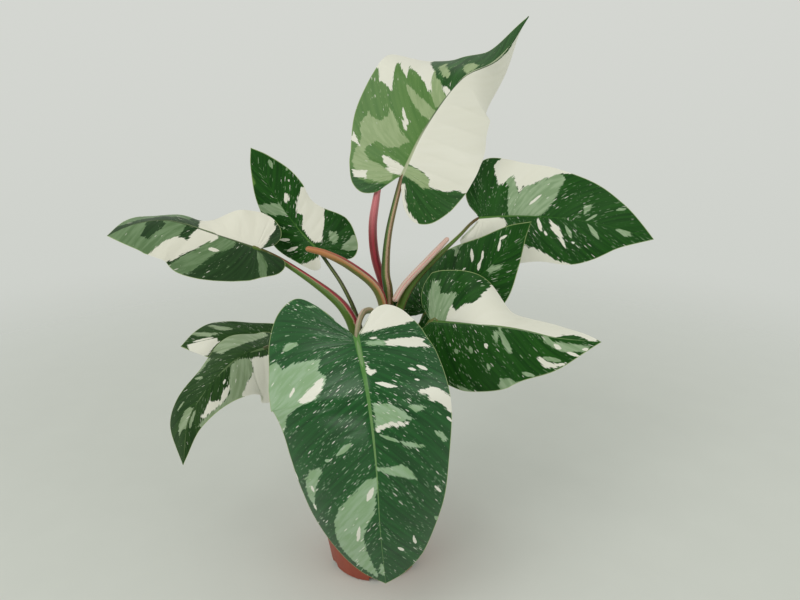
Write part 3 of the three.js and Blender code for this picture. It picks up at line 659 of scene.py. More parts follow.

# %% [markdown]
# ## Where each leaf is white, pale and bright
#
# The variegation is different on every leaf and gives the plant its look: cream patches with no green
# in them, grey-green ones where only a lower layer of cells is green, and deep green between them.
# Two grey-green patches, on leaf_top and leaf_left, are painted sheen where the blade folds back.
# One random pattern for all leaves would look like camouflage. So the large patches are drawn as
# outlines on each flat leaf, in millimetres across and along, with the left half negative. Narrow
# ones are streaks with two ends and a width. Only the ragged edges and the flecks are left to noise.
#
# `cut` outlines are green islands in the white and the pale patches.

# %% Patches drawn on the flat leaves
PATCHES = {
    "leaf_front": {
        "white": [
            [(0, -1), (-14, -4), (-30, -7), (-45, -11), (-48, -16), (-36, -26), (-20, -26), (-6, -12)],
            [(-18, 5), (-40, 2.5), (-50, 3), (-47, 7), (-53, 10), (-35, 11), (-20, 9)],
            [(-2, 20), (-5, 27), (-9, 29), (-4, 31), (-2, 29)],
            [
                (-34, 47), (-46, 46), (-55, 52), (-62, 62), (-62, 72), (-56, 68), (-50, 60), (-43, 57),
                (-41, 51),
            ],
            [(-2, 66), (-12, 65), (-26, 67), (-24, 70), (-10, 68), (-3, 70)],
            [(50, 36), (40, 28), (32, 23), (27, 24), (31, 33), (38, 40), (46, 41)],
        ],
        "white_streaks": [
            ((-6, 37), (-20, 42), 2), ((-30, 29), (-36, 31), 1.5), ((-37, 27), (-45, 31), 2),
            ((-33, 38), (-37, 39), 1), ((-9, 2), (-14, 2), 1), ((55, 28), (50, 20), 2),
            ((8, 125), (3, 112), 3), ((15, 150), (18, 170), 2), ((51, 122), (50, 130), 2),
            ((52, 143), (51, 149), 2), ((66, 112), (64, 125), 2), ((-54, 72), (-58, 78), 1.5),
            ((-42, 124), (-48, 134), 1.5), ((-12, 176), (-16, 182), 1.5), ((-24, 168), (-26, 180), 1.5),
        ],
        "pale": [
            [(-3, 4), (-18, 5), (-20, 9), (-8, 8)],
            [(-2, 50), (-14, 53), (-22, 58), (-27, 66), (-14, 66), (-3, 69)],
            [(-26, 56), (-34, 57), (-39, 61), (-30, 62)],
            [(-17, 80), (-26, 83), (-36, 89), (-28, 88), (-20, 84)],
            [(-1, 93), (-10, 98), (-18, 97), (-24, 104), (-28, 113), (-18, 108), (-8, 103)],
            [
                (0, 100), (10, 108), (20, 123), (30, 138), (35, 152), (36, 170), (33, 185), (25, 197),
                (12, 207), (5, 212), (9, 192), (12, 178), (13, 162), (10, 150), (6, 142), (2, 129),
                (2, 118),
            ],
            [
                (38, 100), (49, 106), (56, 120), (57, 138), (51, 149), (50, 135), (46, 120), (41, 108),
            ],
            [
                (70, -4), (62, -3), (58, 4), (50, 3), (40, 5), (28, 8), (31, 16), (26, 22), (27, 28),
                (36, 40), (44, 42), (52, 46), (60, 56), (63, 64), (68, 78), (76, 72), (78, 40), (78, 10),
            ],
            [(43, -11), (52, -13), (56, -10), (52, -7), (43, -8)],
            [(20, -33), (30, -36), (36, -38), (28, -34)],
            [(-44, 80), (-50, 84), (-54, 92), (-50, 90), (-45, 84)],
            [(2, 192), (-1, 205), (1, 212), (4, 206)],
        ],
        "pale_streaks": [
            ((-4, 72), (-17, 80), 1.5), ((27, 88), (15, 77), 3), ((32, 92), (36, 94), 2),
            ((-42, 157), (-46, 165), 2),
        ],
    },
    "leaf_top": {
        "bright": [
            [
                (0, -8), (-12, -14), (-22, -18.5), (-31, -19), (-39, -16), (-48, -8), (-60, 0), (-72, 6),
                (-72, 66), (-56, 90), (-32, 84), (-24, 85), (-16, 80), (-8, 77), (0, 75),
            ],
        ],
        "white": [
            [(-41, -14), (-36, -13), (-28.5, -10), (-26, -16), (-31, -18), (-36, -19)],
            [
                (-22, 8), (-16, 8.5), (-8, 7), (-2, 6), (-1, 0), (-5, -2), (-10, -3), (-15, -2),
                (-12, 0), (-19, 2.5),
            ],
            [
                (-70, 60), (-60, 62), (-53, 54), (-48, 55), (-43, 53), (-38, 52), (-44, 60), (-50, 70),
                (-51, 76), (-46, 72), (-41, 69), (-36, 67), (-38, 72), (-41, 77), (-35, 75), (-27, 74),
                (-20, 71), (-12, 67), (-17, 76), (-24, 84), (-29, 87), (-40, 90), (-52, 96), (-68, 90),
            ],
            [(-9, 79), (-5, 80), (-1, 80), (-1, 71), (-5, 75)],
            [(-24, 46), (-18, 42), (-12.5, 40.5), (-14, 37), (-12, 33), (-16, 35), (-19, 39), (-22, 42)],
            [(-55, 19), (-47, 12), (-42.5, 7.5), (-48, 8.5), (-53, 9), (-53, 14)],
            [
                (0, 12), (4, 10), (14, 9), (22, 6), (24, 0), (40, 3), (44, 6), (58, 9), (76, 20), (76, 168),
                (1.6, 168), (2.4, 150), (2.4, 136), (0, 124),
            ],
            [(5.5, -6), (11.5, -18), (18, -25), (31, -30.5), (36, -36), (4, -40), (0, -14)],
        ],
        "pale": [
            [
                (-28, 85), (-24, 86), (-16, 81), (-7.5, 78), (-4, 74), (-1, 73), (-1, 61), (-4, 61.5),
                (-12, 67.5), (-19.5, 78),
            ],
            [
                (-33, 62), (-27, 63), (-21, 61), (-14, 60), (-1, 58), (-1, 50), (-9, 50), (-18, 53),
                (-27, 57),
            ],
            [
                (-51, 25), (-48, 34), (-44, 31), (-36, 31), (-32, 36), (-34, 41), (-28, 39), (-23, 36),
                (-16, 31), (-11, 29), (-6, 27), (-10, 23), (-12, 19), (-19, 16), (-28, 12), (-30, 2),
                (-21, -1), (-8, -1), (-6, -8), (-14, -14), (-26, -16), (-38, -13), (-44, -8), (-46, 2),
                (-44, 12), (-48, 18),
            ],
            [(0, 9), (14, 9), (22, 6), (26, 0), (20, -3), (10, -1), (0, 1)],
            [(-33, 97), (-28, 95), (-20, 94), (-12, 90), (-11, 86), (-16, 86.5), (-24, 88.5), (-31, 92)],
            # This small grey-green patch near the tip of the folded-back left half is painted sheen, drawn
            # as a pale patch.
            [(-18, 104), (-14, 110), (-6, 112), (-2, 105), (-3, 99), (-10, 100)],
        ],
        "cut": [
            [
                (-36, 12), (-38, 6), (-35, 2), (-30, -1), (-21, -1), (-22, 5), (-21.5, 9), (-16, 9),
                (-11.6, 9), (-3, 8.5), (-6, 12), (-14, 13), (-22, 15), (-28, 17), (-32, 16),
            ],
            [(-16, 14), (-6, 20), (-2, 14), (-4, 9), (-12, 11)],
        ],
    },
    "leaf_right": {
        "white": [
            [
                (-62, 36), (-64, 58), (-58, 78), (-46, 92), (-43, 82), (-43, 76), (-36, 62), (-30, 52),
                (-28, 44), (-21, 38), (-29, 36), (-39, 36), (-33, 29), (-27, 22), (-32, 22), (-38, 21),
                (-47, 22), (-54, 26),
            ],
            [(0, -2), (2, 22), (8, 25), (14, 20), (24, 10), (30, -10), (20, -26), (2, -12)],
            [(2, 65), (7, 74), (19, 80), (26, 83), (17, 74), (10, 67)],
            [
                (22, 38), (29, 47), (27, 51), (33, 64), (38, 74), (39, 86), (41, 98), (48, 90), (50, 40),
                (38, 30),
            ],
        ],
        "white_streaks": [
            ((-10, 46), (-20, 58), 1.5), ((1, 54), (14, 58), 2.5), ((12, 60), (17, 64), 1.5),
            ((20, 88), (21, 92), 1.5),
        ],
        "pale": [
            [
                (-33, 29), (-39, 36), (-29, 36), (-21, 38), (-28, 44), (-30, 52), (-36, 62), (-43, 76),
                (-38, 80), (-28, 75), (-17, 70), (-8, 64), (-2, 58), (-1, 28), (-10, 27), (-20, 29),
                (-27, 30),
            ],
            [(-6, 97), (-14, 96), (-17, 104), (-10, 101)],
            [(2, 128), (0, 136), (3, 143), (6, 138)],
        ],
        "pale_streaks": [
            ((0, 99), (-9, 110), 1.5), ((-16, 125), (-20, 133), 2), ((6, 80), (17, 88), 2.5),
            ((2, 101), (14, 115), 3),
        ],
    },
    "leaf_inner": {
        "white_streaks": [
            ((-13, 59), (-22, 68), 2), ((-4, 58), (-9, 65), 2), ((-8, 66), (-14, 74), 1.5),
            ((-4, 82), (-9, 90), 1.5), ((-10, 90), (-8, 97), 1.5), ((-13, 48), (-13, 52), 1),
        ],
        "pale": [
            [(1, 62), (3, 72), (6, 78), (8, 72), (4, 64)],
            [(-36, 50), (-35, 66), (-30, 74), (-30, 64), (-31, 54)],
            [(17, 84), (19, 92), (24, 88), (22, 80)],
        ],
        "pale_streaks": [((-27, 50), (-30, 58), 2), ((-17, 30), (-20, 35), 2)],
    },
    "leaf_low_right": {
        "white": [
            [
                (0, 9), (-14, 17), (-9, 20), (-15, 27), (-18, 33), (-26, 39), (-33, 41), (-48, 46),
                (-50, 66), (-34, 84), (-28, 104), (-22, 120), (-10, 134), (-1, 133), (-4, 124), (-7, 116),
                (-6, 108), (-2, 102), (0, 95),
            ],
            [(16, 86), (20, 92), (24, 98), (22, 108), (18, 111), (20, 104), (19, 97)],
        ],
        "white_streaks": [
            ((14, 46), (18, 48), 2.5), ((5, 100), (8, 106), 2.5), ((10, 110), (12, 120), 2),
            ((7, 122), (6, 127), 2),
        ],
        "pale": [
            [(0, 0), (-8, -2), (-20, -3), (-34, 0), (-32, 5), (-23, 8), (-24, 20), (-17, 18), (0, 12)],
            [(1, 54), (3, 58), (10, 64), (19, 69), (20, 66), (12, 60), (5, 56)],
            [(3, 52), (8, 52), (15, 55), (9, 56), (4, 55)],
            [
                (1, 88), (3, 98), (3, 115), (4, 128), (8, 126), (9, 118), (10, 108), (8, 100), (5, 92),
            ],
            [(41, 62), (40, 72), (42, 80), (38, 90), (47, 80), (52, 70), (48, 60)],
            [(49, 18), (52, 26), (54, 36), (58, 44), (58, 34), (54, 26)],
        ],
        "pale_streaks": [
            ((18, 34), (24, 36), 2.5), ((21, 22), (25, 24), 2.5), ((30, 49), (36, 52), 2),
            ((17, 94), (17, 108), 2.5), ((33, 82), (33, 93), 2.5),
        ],
    },
    "leaf_arching": {
        "white": [
            [
                (-7.5, 5), (-6, 14), (-5.8, 20.7), (-10.6, 20), (-16.4, 21.4), (-18.2, 25.7), (-22, 39),
                (-25, 50), (-44, 50), (-56, 20), (-54, -12), (-30, -24), (-8, -14), (-6, -4),
            ],
            [
                (-12.4, 50), (-11, 54), (-11.6, 57), (-12, 62), (-14, 65), (-10.5, 70), (-7.5, 70), (-8, 75),
                (-9, 79), (-8, 86), (-10, 88), (-13, 80), (-16, 70), (-17, 62), (-16, 55),
            ],
        ],
        "white_streaks": [((20, 36), (21, 38), 1), ((-8, 53), (-7, 49), 1)],
        "pale": [
            [
                (-1.8, 37), (-6, 42), (-10, 47), (-12.4, 50), (-16.4, 55.5), (-17.4, 62), (-15, 74),
                (-12, 84), (-8, 98), (-20, 94), (-34, 60), (-26, 50), (-22, 39), (-18, 26), (-16.4, 21.4),
                (-10.6, 20), (-5.8, 20.7), (-4, 24), (-1.6, 30),
            ],
            [(1, 78), (4, 84), (7, 92), (8, 104), (6, 112), (3, 104), (1.5, 94), (1, 86)],
            [(24, 66), (32, 58), (32, 50), (23, 42), (21, 50), (21, 59), (22, 66)],
            [(14, 6), (12, 22), (16, 36), (34, 38), (36, 14), (32, -8), (16, -6)],
        ],
        "pale_streaks": [((-2, 83), (-3, 100), 1.5), ((19, 66), (11, 59), 2), ((12, 84), (14, 94), 1)],
    },
    "leaf_low_left": {
        "white": [[(0, 90), (1, 74), (2, 64), (-4, 62), (-14, 72), (-16, 86)]],
        "pale": [
            [(19, 72), (14, 66), (8, 58), (7, 48), (10, 50), (15, 60), (20, 68)],
            [(14, 90), (10, 84), (4, 74), (3, 62), (6, 62), (9, 72), (14, 84)],
        ],
        "white_streaks": [((1.5, 84), (1, 66), 1.5)],
    },
    "leaf_upper_left": {
        "white": [
            [
                (24, 54), (29, 48), (32, 34), (29, 23), (22, 14), (15, 8), (8, 2), (2, 6), (2, 13), (3, 24),
                (11, 32), (7, 37), (16, 48),
            ],
            [(4, 53), (8, 58), (11, 55), (9, 50), (5, 49)],
            [(-24, 2), (-10, -4), (-2, -6), (-8, -16), (-20, -16)],
        ],
        "white_streaks": [((17, 65), (17, 67), 2), ((-20, 28), (-12, 22), 2), ((-22, 18), (-10, 14), 2)],
        "pale": [
            [(13, -2), (18, 4), (23, 0), (21, -6), (15, -7)],
            [(16, -14), (30, -12), (36, -16), (32, -24), (20, -22)],
            [
                (-21, 62), (-10, 57), (1, 49), (3, 40), (1, 34), (-3, 42), (-10, 46), (-18, 53),
            ],
        ],
        "pale_streaks": [((10, 90), (9, 82), 2.5), ((20, 75), (20, 77), 3), ((-10, 32), (-10, 34), 2.5)],
        "bright": [[(-16, 74), (-15, 92), (-9, 90), (-10, 76)]],
    },
    "leaf_left": {
        "white": [
            [
                (0, 50), (18, 52), (26, 46), (34, 26), (38, 4), (34, -6), (22, -8), (12, -6), (0, 2),
            ],
            [
                (0, 48), (0, 36), (-3, 34), (-8, 40), (-14, 46), (-22, 54), (-31, 64), (-33, 72),
                (-34, 88), (-26, 98), (-18, 80), (-11, 62), (-12, 56), (-6, 54),
            ],
        ],
        "white_streaks": [((-13, 40), (-12, 30), 2)],
        "pale": [
            [(2, 4), (10, 8), (18, 10), (24, 4), (16, 2), (10, -3)],
            # This grey-green strip on the folded-back right half is painted sheen, drawn as a pale patch.
            [(13, 60), (12, 80), (9, 95), (5, 110), (8, 124), (28, 116), (28, 58)],
            [
                (-1, 20), (-6, 20), (-15, 32), (-20, 36), (-29, 42), (-37, 46), (-44, 56), (-36, 68),
                (-30, 60), (-20, 50), (-12, 44), (-4, 42),
            ],
            [(-1, 58), (-14, 64), (-24, 84), (-30, 90), (-20, 110), (-8, 124), (0, 124)],
            [(-2, 1), (-4, -4), (-10, -10), (-20, -14), (-24, -8), (-16, -5), (-6, 0)],
        ],
        "cut": [[(-8, 96), (-10, 98), (-14, 92), (-6, 80), (-3, 76), (-1, 84)]],
    },
}
LAYERS = ("white", "pale", "bright")

# %% [markdown]
# ## From outlines to a number at every point
#
# The shader needs to know, at each place, how far inside or outside the nearest patch it is. That
# distance is worked out once for every point of the mesh and kept there as an attribute. A patch that
# starts at the midrib is stretched over to the far side and then read on its own side only, so it
# ends in a clean line along the midrib, as it does on the real leaf.

# %% Distance to the patches
FAR = 12.0
NEAR_MIDRIB = 1.5
OVER_MIDRIB = 8.0
STREAK_BOOST = 0.25
STREAK_SLOPE = 3.0
STREAK_GIRTH = 0.6


def to_segment(x, y, start, end):
    """Distance from places to a straight line between two points."""
    run = (end[0] - start[0], end[1] - start[1])
    square = run[0] ** 2 + run[1] ** 2
    share = np.clip(((x - start[0]) * run[0] + (y - start[1]) * run[1]) / square, 0, 1)
    return np.hypot(x - start[0] - share * run[0], y - start[1] - share * run[1])


def inside_streak(x, y, start, end, width):
    """How deep places lie in a streak between two points, that narrows towards both."""
    run = (end[0] - start[0], end[1] - start[1])
    share = ((x - start[0]) * run[0] + (y - start[1]) * run[1]) / (run[0] ** 2 + run[1] ** 2)
    girth = np.clip(1 - (2 * share - 1) ** 2, 0, 1)
    return STREAK_BOOST + STREAK_GIRTH * width * girth - to_segment(x, y, start, end)


def inside_outline(x, y, outline):
    """Distance from places to an outline, above 0 inside it."""
    nearest = np.full(x.shape, FAR)
    inside = np.zeros(x.shape, bool)
    for start, end in zip(outline, outline[1:] + outline[:1]):
        nearest = np.minimum(nearest, to_segment(x, y, start, end))
        if start[1] != end[1]:
            crossing = start[0] + (y - start[1]) * (end[0] - start[0]) / (end[1] - start[1])
            inside ^= ((start[1] > y) != (end[1] > y)) & (x < crossing)
    return np.where(inside, nearest, -nearest)


def layer_field(patches, layer, side, x, y):
    """How far places of one half are inside the patches of a layer."""
    field = np.full(x.shape, -FAR)
    for outline in patches.get(layer, []):
        own = LEFT if sum(point[0] for point in outline) < 0 else RIGHT
        if own == side:
            far_side = -own * OVER_MIDRIB
            reached = [(far_side if abs(px) <= NEAR_MIDRIB else px, py) for px, py in outline]
            field = np.maximum(field, inside_outline(x, y, reached))
    for start, end, width in patches.get(layer + "_streaks", []):
        own = LEFT if start[0] + end[0] < 0 else RIGHT
        if own == side:
            field = np.maximum(field, STREAK_SLOPE * inside_streak(x, y, start, end, width))
    return field


def patch_fields(name, side, x, y):
    """The fields of all layers at places of one half of a leaf."""
    patches = PATCHES[name]
    cut = layer_field(patches, "cut", side, x, y)
    fields = [layer_field(patches, layer, side, x, y) for layer in LAYERS]
    fields[:2] = [np.minimum(field, -cut) for field in fields[:2]]
    return [np.clip(field, -FAR, FAR) for field in fields]


print("hand-drawn patches:", sum(len(v) for p in PATCHES.values() for v in p.values()))

# %% [markdown]
# ## Grids that become blades
#
# A half blade is a flat grid whose rows become veins and whose columns run out along them. It is a
# primitive, and the blade's form then places its points. The rows carry three small reliefs that the
# coarse solid leaves out: the blade bulges a little between its side veins, sinks along the midrib,
# and waves gently at its margin. Three attributes go with the points: the place on the veins, the
# distance to the patches, and the distance to the midrib and to the margin.

# %% Helpers for meshes
def points_of(piece):
    """The points of a mesh as a table of three numbers each."""
    numbers = np.empty(3 * len(piece.data.vertices))
    piece.data.vertices.foreach_get("co", numbers)
    return numbers.reshape(-1, 3)


def place_points(piece, points):
    """Puts a mesh's points at places given in millimetres."""
    piece.data.vertices.foreach_set("co", (np.asarray(points) * MM).ravel())
    piece.data.update()


def keep(piece, name, *columns):
    """Keeps three numbers for each point of a mesh, for the shader."""
    layer = piece.data.attributes.new(name, "FLOAT_VECTOR", "POINT")
    each_point = np.zeros(len(piece.data.vertices))
    numbers = np.stack([each_point + column for column in columns], axis=1)
    layer.data.foreach_set("vector", numbers.astype(np.float32).ravel())


def grid(name, across, along):
    """A flat grid, and how far across and along it each of its points is, from 0 to 1."""
    deselect()
    bpy.ops.mesh.primitive_grid_add(x_subdivisions=across, y_subdivisions=along, size=1)
    sheet = bpy.context.object
    sheet.name = name
    shares = points_of(sheet) + 0.5
    return sheet, shares[:, 0], shares[:, 1]


def in_edit_mode(piece, *steps):
    """Runs edit-mode steps on the whole of one mesh."""
    select_only(piece)
    bpy.ops.object.mode_set(mode="EDIT")
    bpy.ops.mesh.select_all(action="SELECT")
    for step in steps:
        step()
    bpy.ops.object.mode_set(mode="OBJECT")


def merge_doubles():
    """Merges the selected points that lie on one another."""
    bpy.ops.mesh.remove_doubles(threshold=0.01 * MM)


def join(name, pieces):
    """Makes several objects one."""
    deselect()
    for piece in pieces:
        piece.select_set(True)
    bpy.context.view_layer.objects.active = pieces[0]
    if len(pieces) > 1:
        bpy.ops.object.join()
    whole = bpy.context.object
    whole.name = name
    whole.data.name = name
    return whole


def apply_modifier(piece, kind, **settings):
    """Adds a modifier to a mesh and applies it."""
    bpy.context.view_layer.objects.active = piece
    modifier = piece.modifiers.new(kind.lower(), kind)
    for name, value in settings.items():
        setattr(modifier, name, value)
    bpy.ops.object.modifier_apply(modifier=modifier.name)


def smooth_by_angle(piece, degrees):
    """Smooths the shading, and leaves edges sharper than this angle crisp."""
    select_only(piece)
    bpy.ops.object.shade_smooth_by_angle(angle=math.radians(degrees))


def finish_piece(piece, node, slot, *materials):
    """Gives a finished piece its materials, hides the solid that it replaces and attaches it to the root."""
    for material in materials:
        piece.data.materials.append(material)
    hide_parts(node)
    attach(piece, "root")


# %% Blade meshes
CELL = 1.4
BLADE_THICKNESS = 0.55
OUT_SPREAD = 1.35
SIDE_VEINS = 13
QUILT = 0.5
GROOVE = 0.5
GROOVE_WIDTH = 1.8
MARGIN_WAVE = 0.7
MARGIN_WAVES = 4.5
LEAF_SPACING = 400
VEIN_LEAN = 0.9


def relief(side, vein, out, across, share):
    """How far the fine blade stands above the coarse one."""
    fade = np.sin(np.pi * np.clip(vein, 0, 1)) ** 0.5
    bulge = np.abs(np.sin(np.pi * SIDE_VEINS * vein)) ** 0.6 - 0.6
    quilt = QUILT * bulge * np.sin(np.pi * np.clip(out, 0, 1)) ** 0.8
    groove = -GROOVE * (1 - share) * np.exp(-((across / GROOVE_WIDTH) ** 2))
    wave = MARGIN_WAVE * out**4 * np.sin(2 * np.pi * (MARGIN_WAVES * vein + 0.2 * side))
    return fade * (quilt + wave) + groove


def half_blade(name, blade, side, number):
    """One half of a blade's upper surface, with its attributes."""
    rows = round(1.5 * blade.length / CELL)
    columns = round(blade.width(side) / CELL)
    half, out, vein = grid(name, columns, rows)
    out = out**OUT_SPREAD
    across, along = blade.flat(side, vein, out)
    share = np.clip(along / blade.length, 0, 1)
    points = blade.surface(side, vein, out, relief(side, vein, out, across, share))
    place_points(half, points)
    end_across, end_along, start = blade.margin(side, vein)
    vein_length = np.hypot(end_across, end_along - start)
    lean = VEIN_LEAN * vein * out * vein_length
    place_along = 1.5 * blade.length * vein - lean + LEAF_SPACING * number
    keep(half, "veins", place_along, side * out * vein_length, 0)
    keep(half, "marks", *patch_fields(name, side, side * across, along))
    keep(half, "edges", across, (1 - out) * vein_length, share)
    if side == LEFT:
        in_edit_mode(half, bpy.ops.mesh.flip_normals)
    return half


def blade_piece(name, blade, number):
    """A whole blade with its two faces and its rim."""
    halves = [half_blade(name, blade, side, number) for side in (LEFT, RIGHT)]
    piece = join(name + "_blade", halves)
    in_edit_mode(piece, merge_doubles)
    # The two faces can only be told apart by slots that are there before they are made.
    for _ in ("upper face", "underside"):
        piece.data.materials.append(None)
    apply_modifier(piece, "SOLIDIFY", thickness=BLADE_THICKNESS * MM, offset=-1.0, material_offset=1)
    smooth_by_angle(piece, 50)
    return piece


blade_pieces = {name: blade_piece(name, blade, i) for i, (name, blade) in enumerate(blades.items())}
print("faces on the blades:", sum(len(piece.data.polygons) for piece in blade_pieces.values()))

# %% [markdown]
# ## The finish of a leaf
#
# The blade is leathery and has a soft gloss. Its colour is laid in layers, each over the one before:
# green in two depths drawn out along the veins, bright green, fine flecks and dashes, grey-green, a
# thin light margin, light flecks, cream, and last the midrib. Noise moves the edges of the patches. It
# is stretched along the veins, so the edges break up into fingers that point outwards, which is what
# real marbling does.
#
# The underside has the same patches, but it is paler and duller, so it is the same recipe with other
# colours.

# %% Leaf finishes
TONES = {
    "front": {
        "shadow": (8, 58, 18), "green": (26, 91, 34), "bright": (98, 134, 64), "sage": (150, 177, 144),
        "sage_deep": (134, 166, 124), "midrib": (78, 128, 56), "midrib_far": (116, 152, 92),
        "midrib_width": 2.0, "roughness": 0.3, "gloss": 0.38, "flecks": 0.8,
    },
    "deep": {
        "shadow": (20, 58, 17), "green": (36, 86, 25), "bright": (98, 134, 64), "sage": (150, 172, 138),
        "sage_deep": (128, 154, 116), "midrib": (78, 118, 52), "midrib_far": (46, 94, 30),
        "midrib_width": 0.8, "roughness": 0.4, "gloss": 0.12, "flecks": 0.6,
    },
    "fresh": {
        "shadow": (22, 54, 16), "green": (44, 78, 28), "bright": (98, 134, 64), "sage": (148, 166, 134),
        "sage_deep": (130, 150, 114), "midrib": (48, 80, 30), "midrib_far": (48, 80, 30),
        "midrib_width": 0.4, "roughness": 0.42, "gloss": 0.18, "flecks": 0.4,
    },
    # The mossy look is a shaded copy of the leaf finish for leaf_left: its grey-green and cream are darker
    # than in the other looks, painted shade for a leaf that lies in less light, and its greens are duller.
    "mossy_shaded": {
        "shadow": (24, 50, 20), "green": (42, 74, 36), "bright": (84, 116, 60), "sage": (112, 138, 100),
        "sage_deep": (92, 120, 80), "midrib": (64, 84, 44), "midrib_far": (40, 60, 28),
        "midrib_width": 0.8, "roughness": 0.44, "gloss": 0.2, "flecks": 0.5,
        "cream": (228, 226, 213), "cream_deep": (219, 217, 202),
    },
    "light": {
        "shadow": (18, 60, 12), "green": (48, 98, 38), "bright": (98, 134, 72), "sage": (154, 173, 128),
        "sage_deep": (142, 163, 116), "midrib": (172, 180, 146), "midrib_far": (30, 72, 20),
        "midrib_width": 1.2, "roughness": 0.42, "gloss": 0.25, "flecks": 0.25,
    },
}
DULL_GREEN = (150, 164, 132)
DULLNESS = 0.45
DULL_ROUGHNESS = 0.6
CREAM = {"cream": (229, 228, 217), "cream_deep": (221, 220, 205), "margin": (160, 178, 120)}


# How the noise moves an edge: width, length, seed and strength of each of its two sizes.
WHITE_EDGE = ((2.4, 11, 1, 5), (0.8, 3, 2, 3))
PALE_EDGE = ((2.2, 10, 3, 5), (0.8, 3, 4, 4))
# The cells of the flecks: width, length, seed and radius.
FLECKS = (1.4, 5, 8, 0.32)
DASHES = (4, 15, 9, 0.15)
LIGHT_FLECKS = (2.4, 8.5, 12, 0.24)


def ragged(veins, edge):
    """Noise around 0, to be added to the distance to a patch."""
    sizes = [(streaks(veins, *size[:3]) - 0.5) * size[3] for size in edge]
    return sizes[0] + sizes[1]


def leaf_finish(name, tones):
    """The marbled finish of a leaf's face, in the given tones."""
    material, tree = new_material(name)
    tone = {key: screen(*value) for key, value in tones.items() if isinstance(value, tuple)}
    veins = attribute(tree, "veins")
    white, pale, bright = parts(attribute(tree, "marks"))
    rib, rim, share = parts(attribute(tree, "edges"))

    tatters = ragged(veins, PALE_EDGE)
    white = (white + ragged(veins, WHITE_EDGE)).between(-0.3, 0.3)
    pale = (pale + tatters).between(-0.3, 0.3)
    bright = (bright + tatters * 0.6).between(-1, 1)

    depth = streaks(veins, 3.5, 45, 5, 3).between(0.2, 0.8)
    green = depth.mixed(tone["shadow"], tone["green"])
    green = bright.mixed(green, (depth * 0.5 + 0.5).mixed(tone["green"], tone["bright"]))
    sage = streaks(veins, 4, 16, 6, 3).between(0.38, 0.62).mixed(tone["sage"], tone["sage_deep"])
    cream = streaks(veins, 9, 60, 10).mixed(tone["cream"], tone["cream_deep"])
    crowding = streaks(veins, 16, 34, 7).between(0.4, 0.62) * tones["flecks"]
    flecks = specks(veins, *FLECKS, crowding + 0.08)
    dashes = specks(veins, *DASHES, tones["flecks"] * 0.6)
    light_flecks = specks(veins, *LIGHT_FLECKS, crowding * 0.6 + 0.06)

    colour = (flecks * 0.6).mixed(green, tone["sage"])
    colour = (dashes * 0.8).mixed(colour, tone["sage"])
    colour = pale.mixed(colour, sage)
    colour = ((1 - rim.between(0.3, 0.65)) * 0.75).mixed(colour, tone["margin"])
    colour = (light_flecks * 0.85).mixed(colour, tone["cream"])
    colour = white.mixed(colour, cream)
    left = 1 - share
    line = left * left * left * tones["midrib_width"] + 0.25
    midrib = 1 - (rib / line).between(0.75, 1.15)
    midrib_colour = share.between(0.1, 0.4).mixed(tone["midrib"], tone["midrib_far"])
    colour = (midrib * (1 - share * 0.6)).mixed(colour, midrib_colour)

    grain = streaks(veins, 0.6, 8, 11)
    roughness = tones["roughness"] - 0.05 + grain * 0.1
    shade(tree, colour, roughness, grain, 0.05, tones["gloss"])
    return material


def underside(tones):
    """The paler tones that the same leaf shows from below."""
    softened = {**tones, "roughness": DULL_ROUGHNESS}
    for key, value in tones.items():
        if isinstance(value, tuple):
            pairs = zip(value, DULL_GREEN)
            softened[key] = tuple((1 - DULLNESS) * part + DULLNESS * grey for part, grey in pairs)
    return softened


LEAF_LOOKS = {
    "leaf_front": "front", "leaf_top": "light", "leaf_left": "mossy_shaded", "leaf_arching": "fresh",
    "leaf_low_left": "fresh",
}
upper_finishes, under_finishes = {}, {}
for look, tones in TONES.items():
    tones = {**CREAM, **tones}
    upper_finishes[look] = leaf_finish(f"leaf_{look}_upper", tones)
    under_finishes[look] = leaf_finish(f"leaf_{look}_under", underside(tones))
print("leaf finishes:", len(upper_finishes) + len(under_finishes))

# %% [markdown]
# ## Tubes along curves
#
# Stalks, sheaths, ribs and the stem are all long round things whose girth changes. A curve object with
# a bevel could draw one, but not with a groove, a keel or stripes that stay on one side. So a grid is
# rolled into a tube: its rows become rings that follow the curve, and its two long edges are merged.
# The rings close to a point at both ends in the shape of a dome. Each point keeps which way round the
# tube it lies and how far along it is, for the stripes.

# %% Tubes
CAP_RINGS = 4
FRONT = np.array([0.0, -1.0, 0.0])


def stations(length, first_radius, last_radius, rings):
    """Where the rings of a tube lie, and how much of its girth each has."""
    cap = np.linspace(0, math.pi / 2, CAP_RINGS + 1)
    start = first_radius * (1 - np.cos(cap))
    end = length - last_radius * (1 - np.cos(cap[::-1]))
    middle = np.linspace(start[-1], end[0], rings - 2 * CAP_RINGS + 1)[1:-1]
    girth = np.concatenate([np.sin(cap), np.ones(len(middle)), np.sin(cap[::-1])])
    return np.concatenate([start, middle, end]) / length, girth


def carried(headings, first):
    """A direction carried along a curve without twisting about it."""
    turned = []
    for heading in headings:
        first = unit(first - np.dot(first, heading) * heading)
        turned.append(first)
    return np.array(turned)


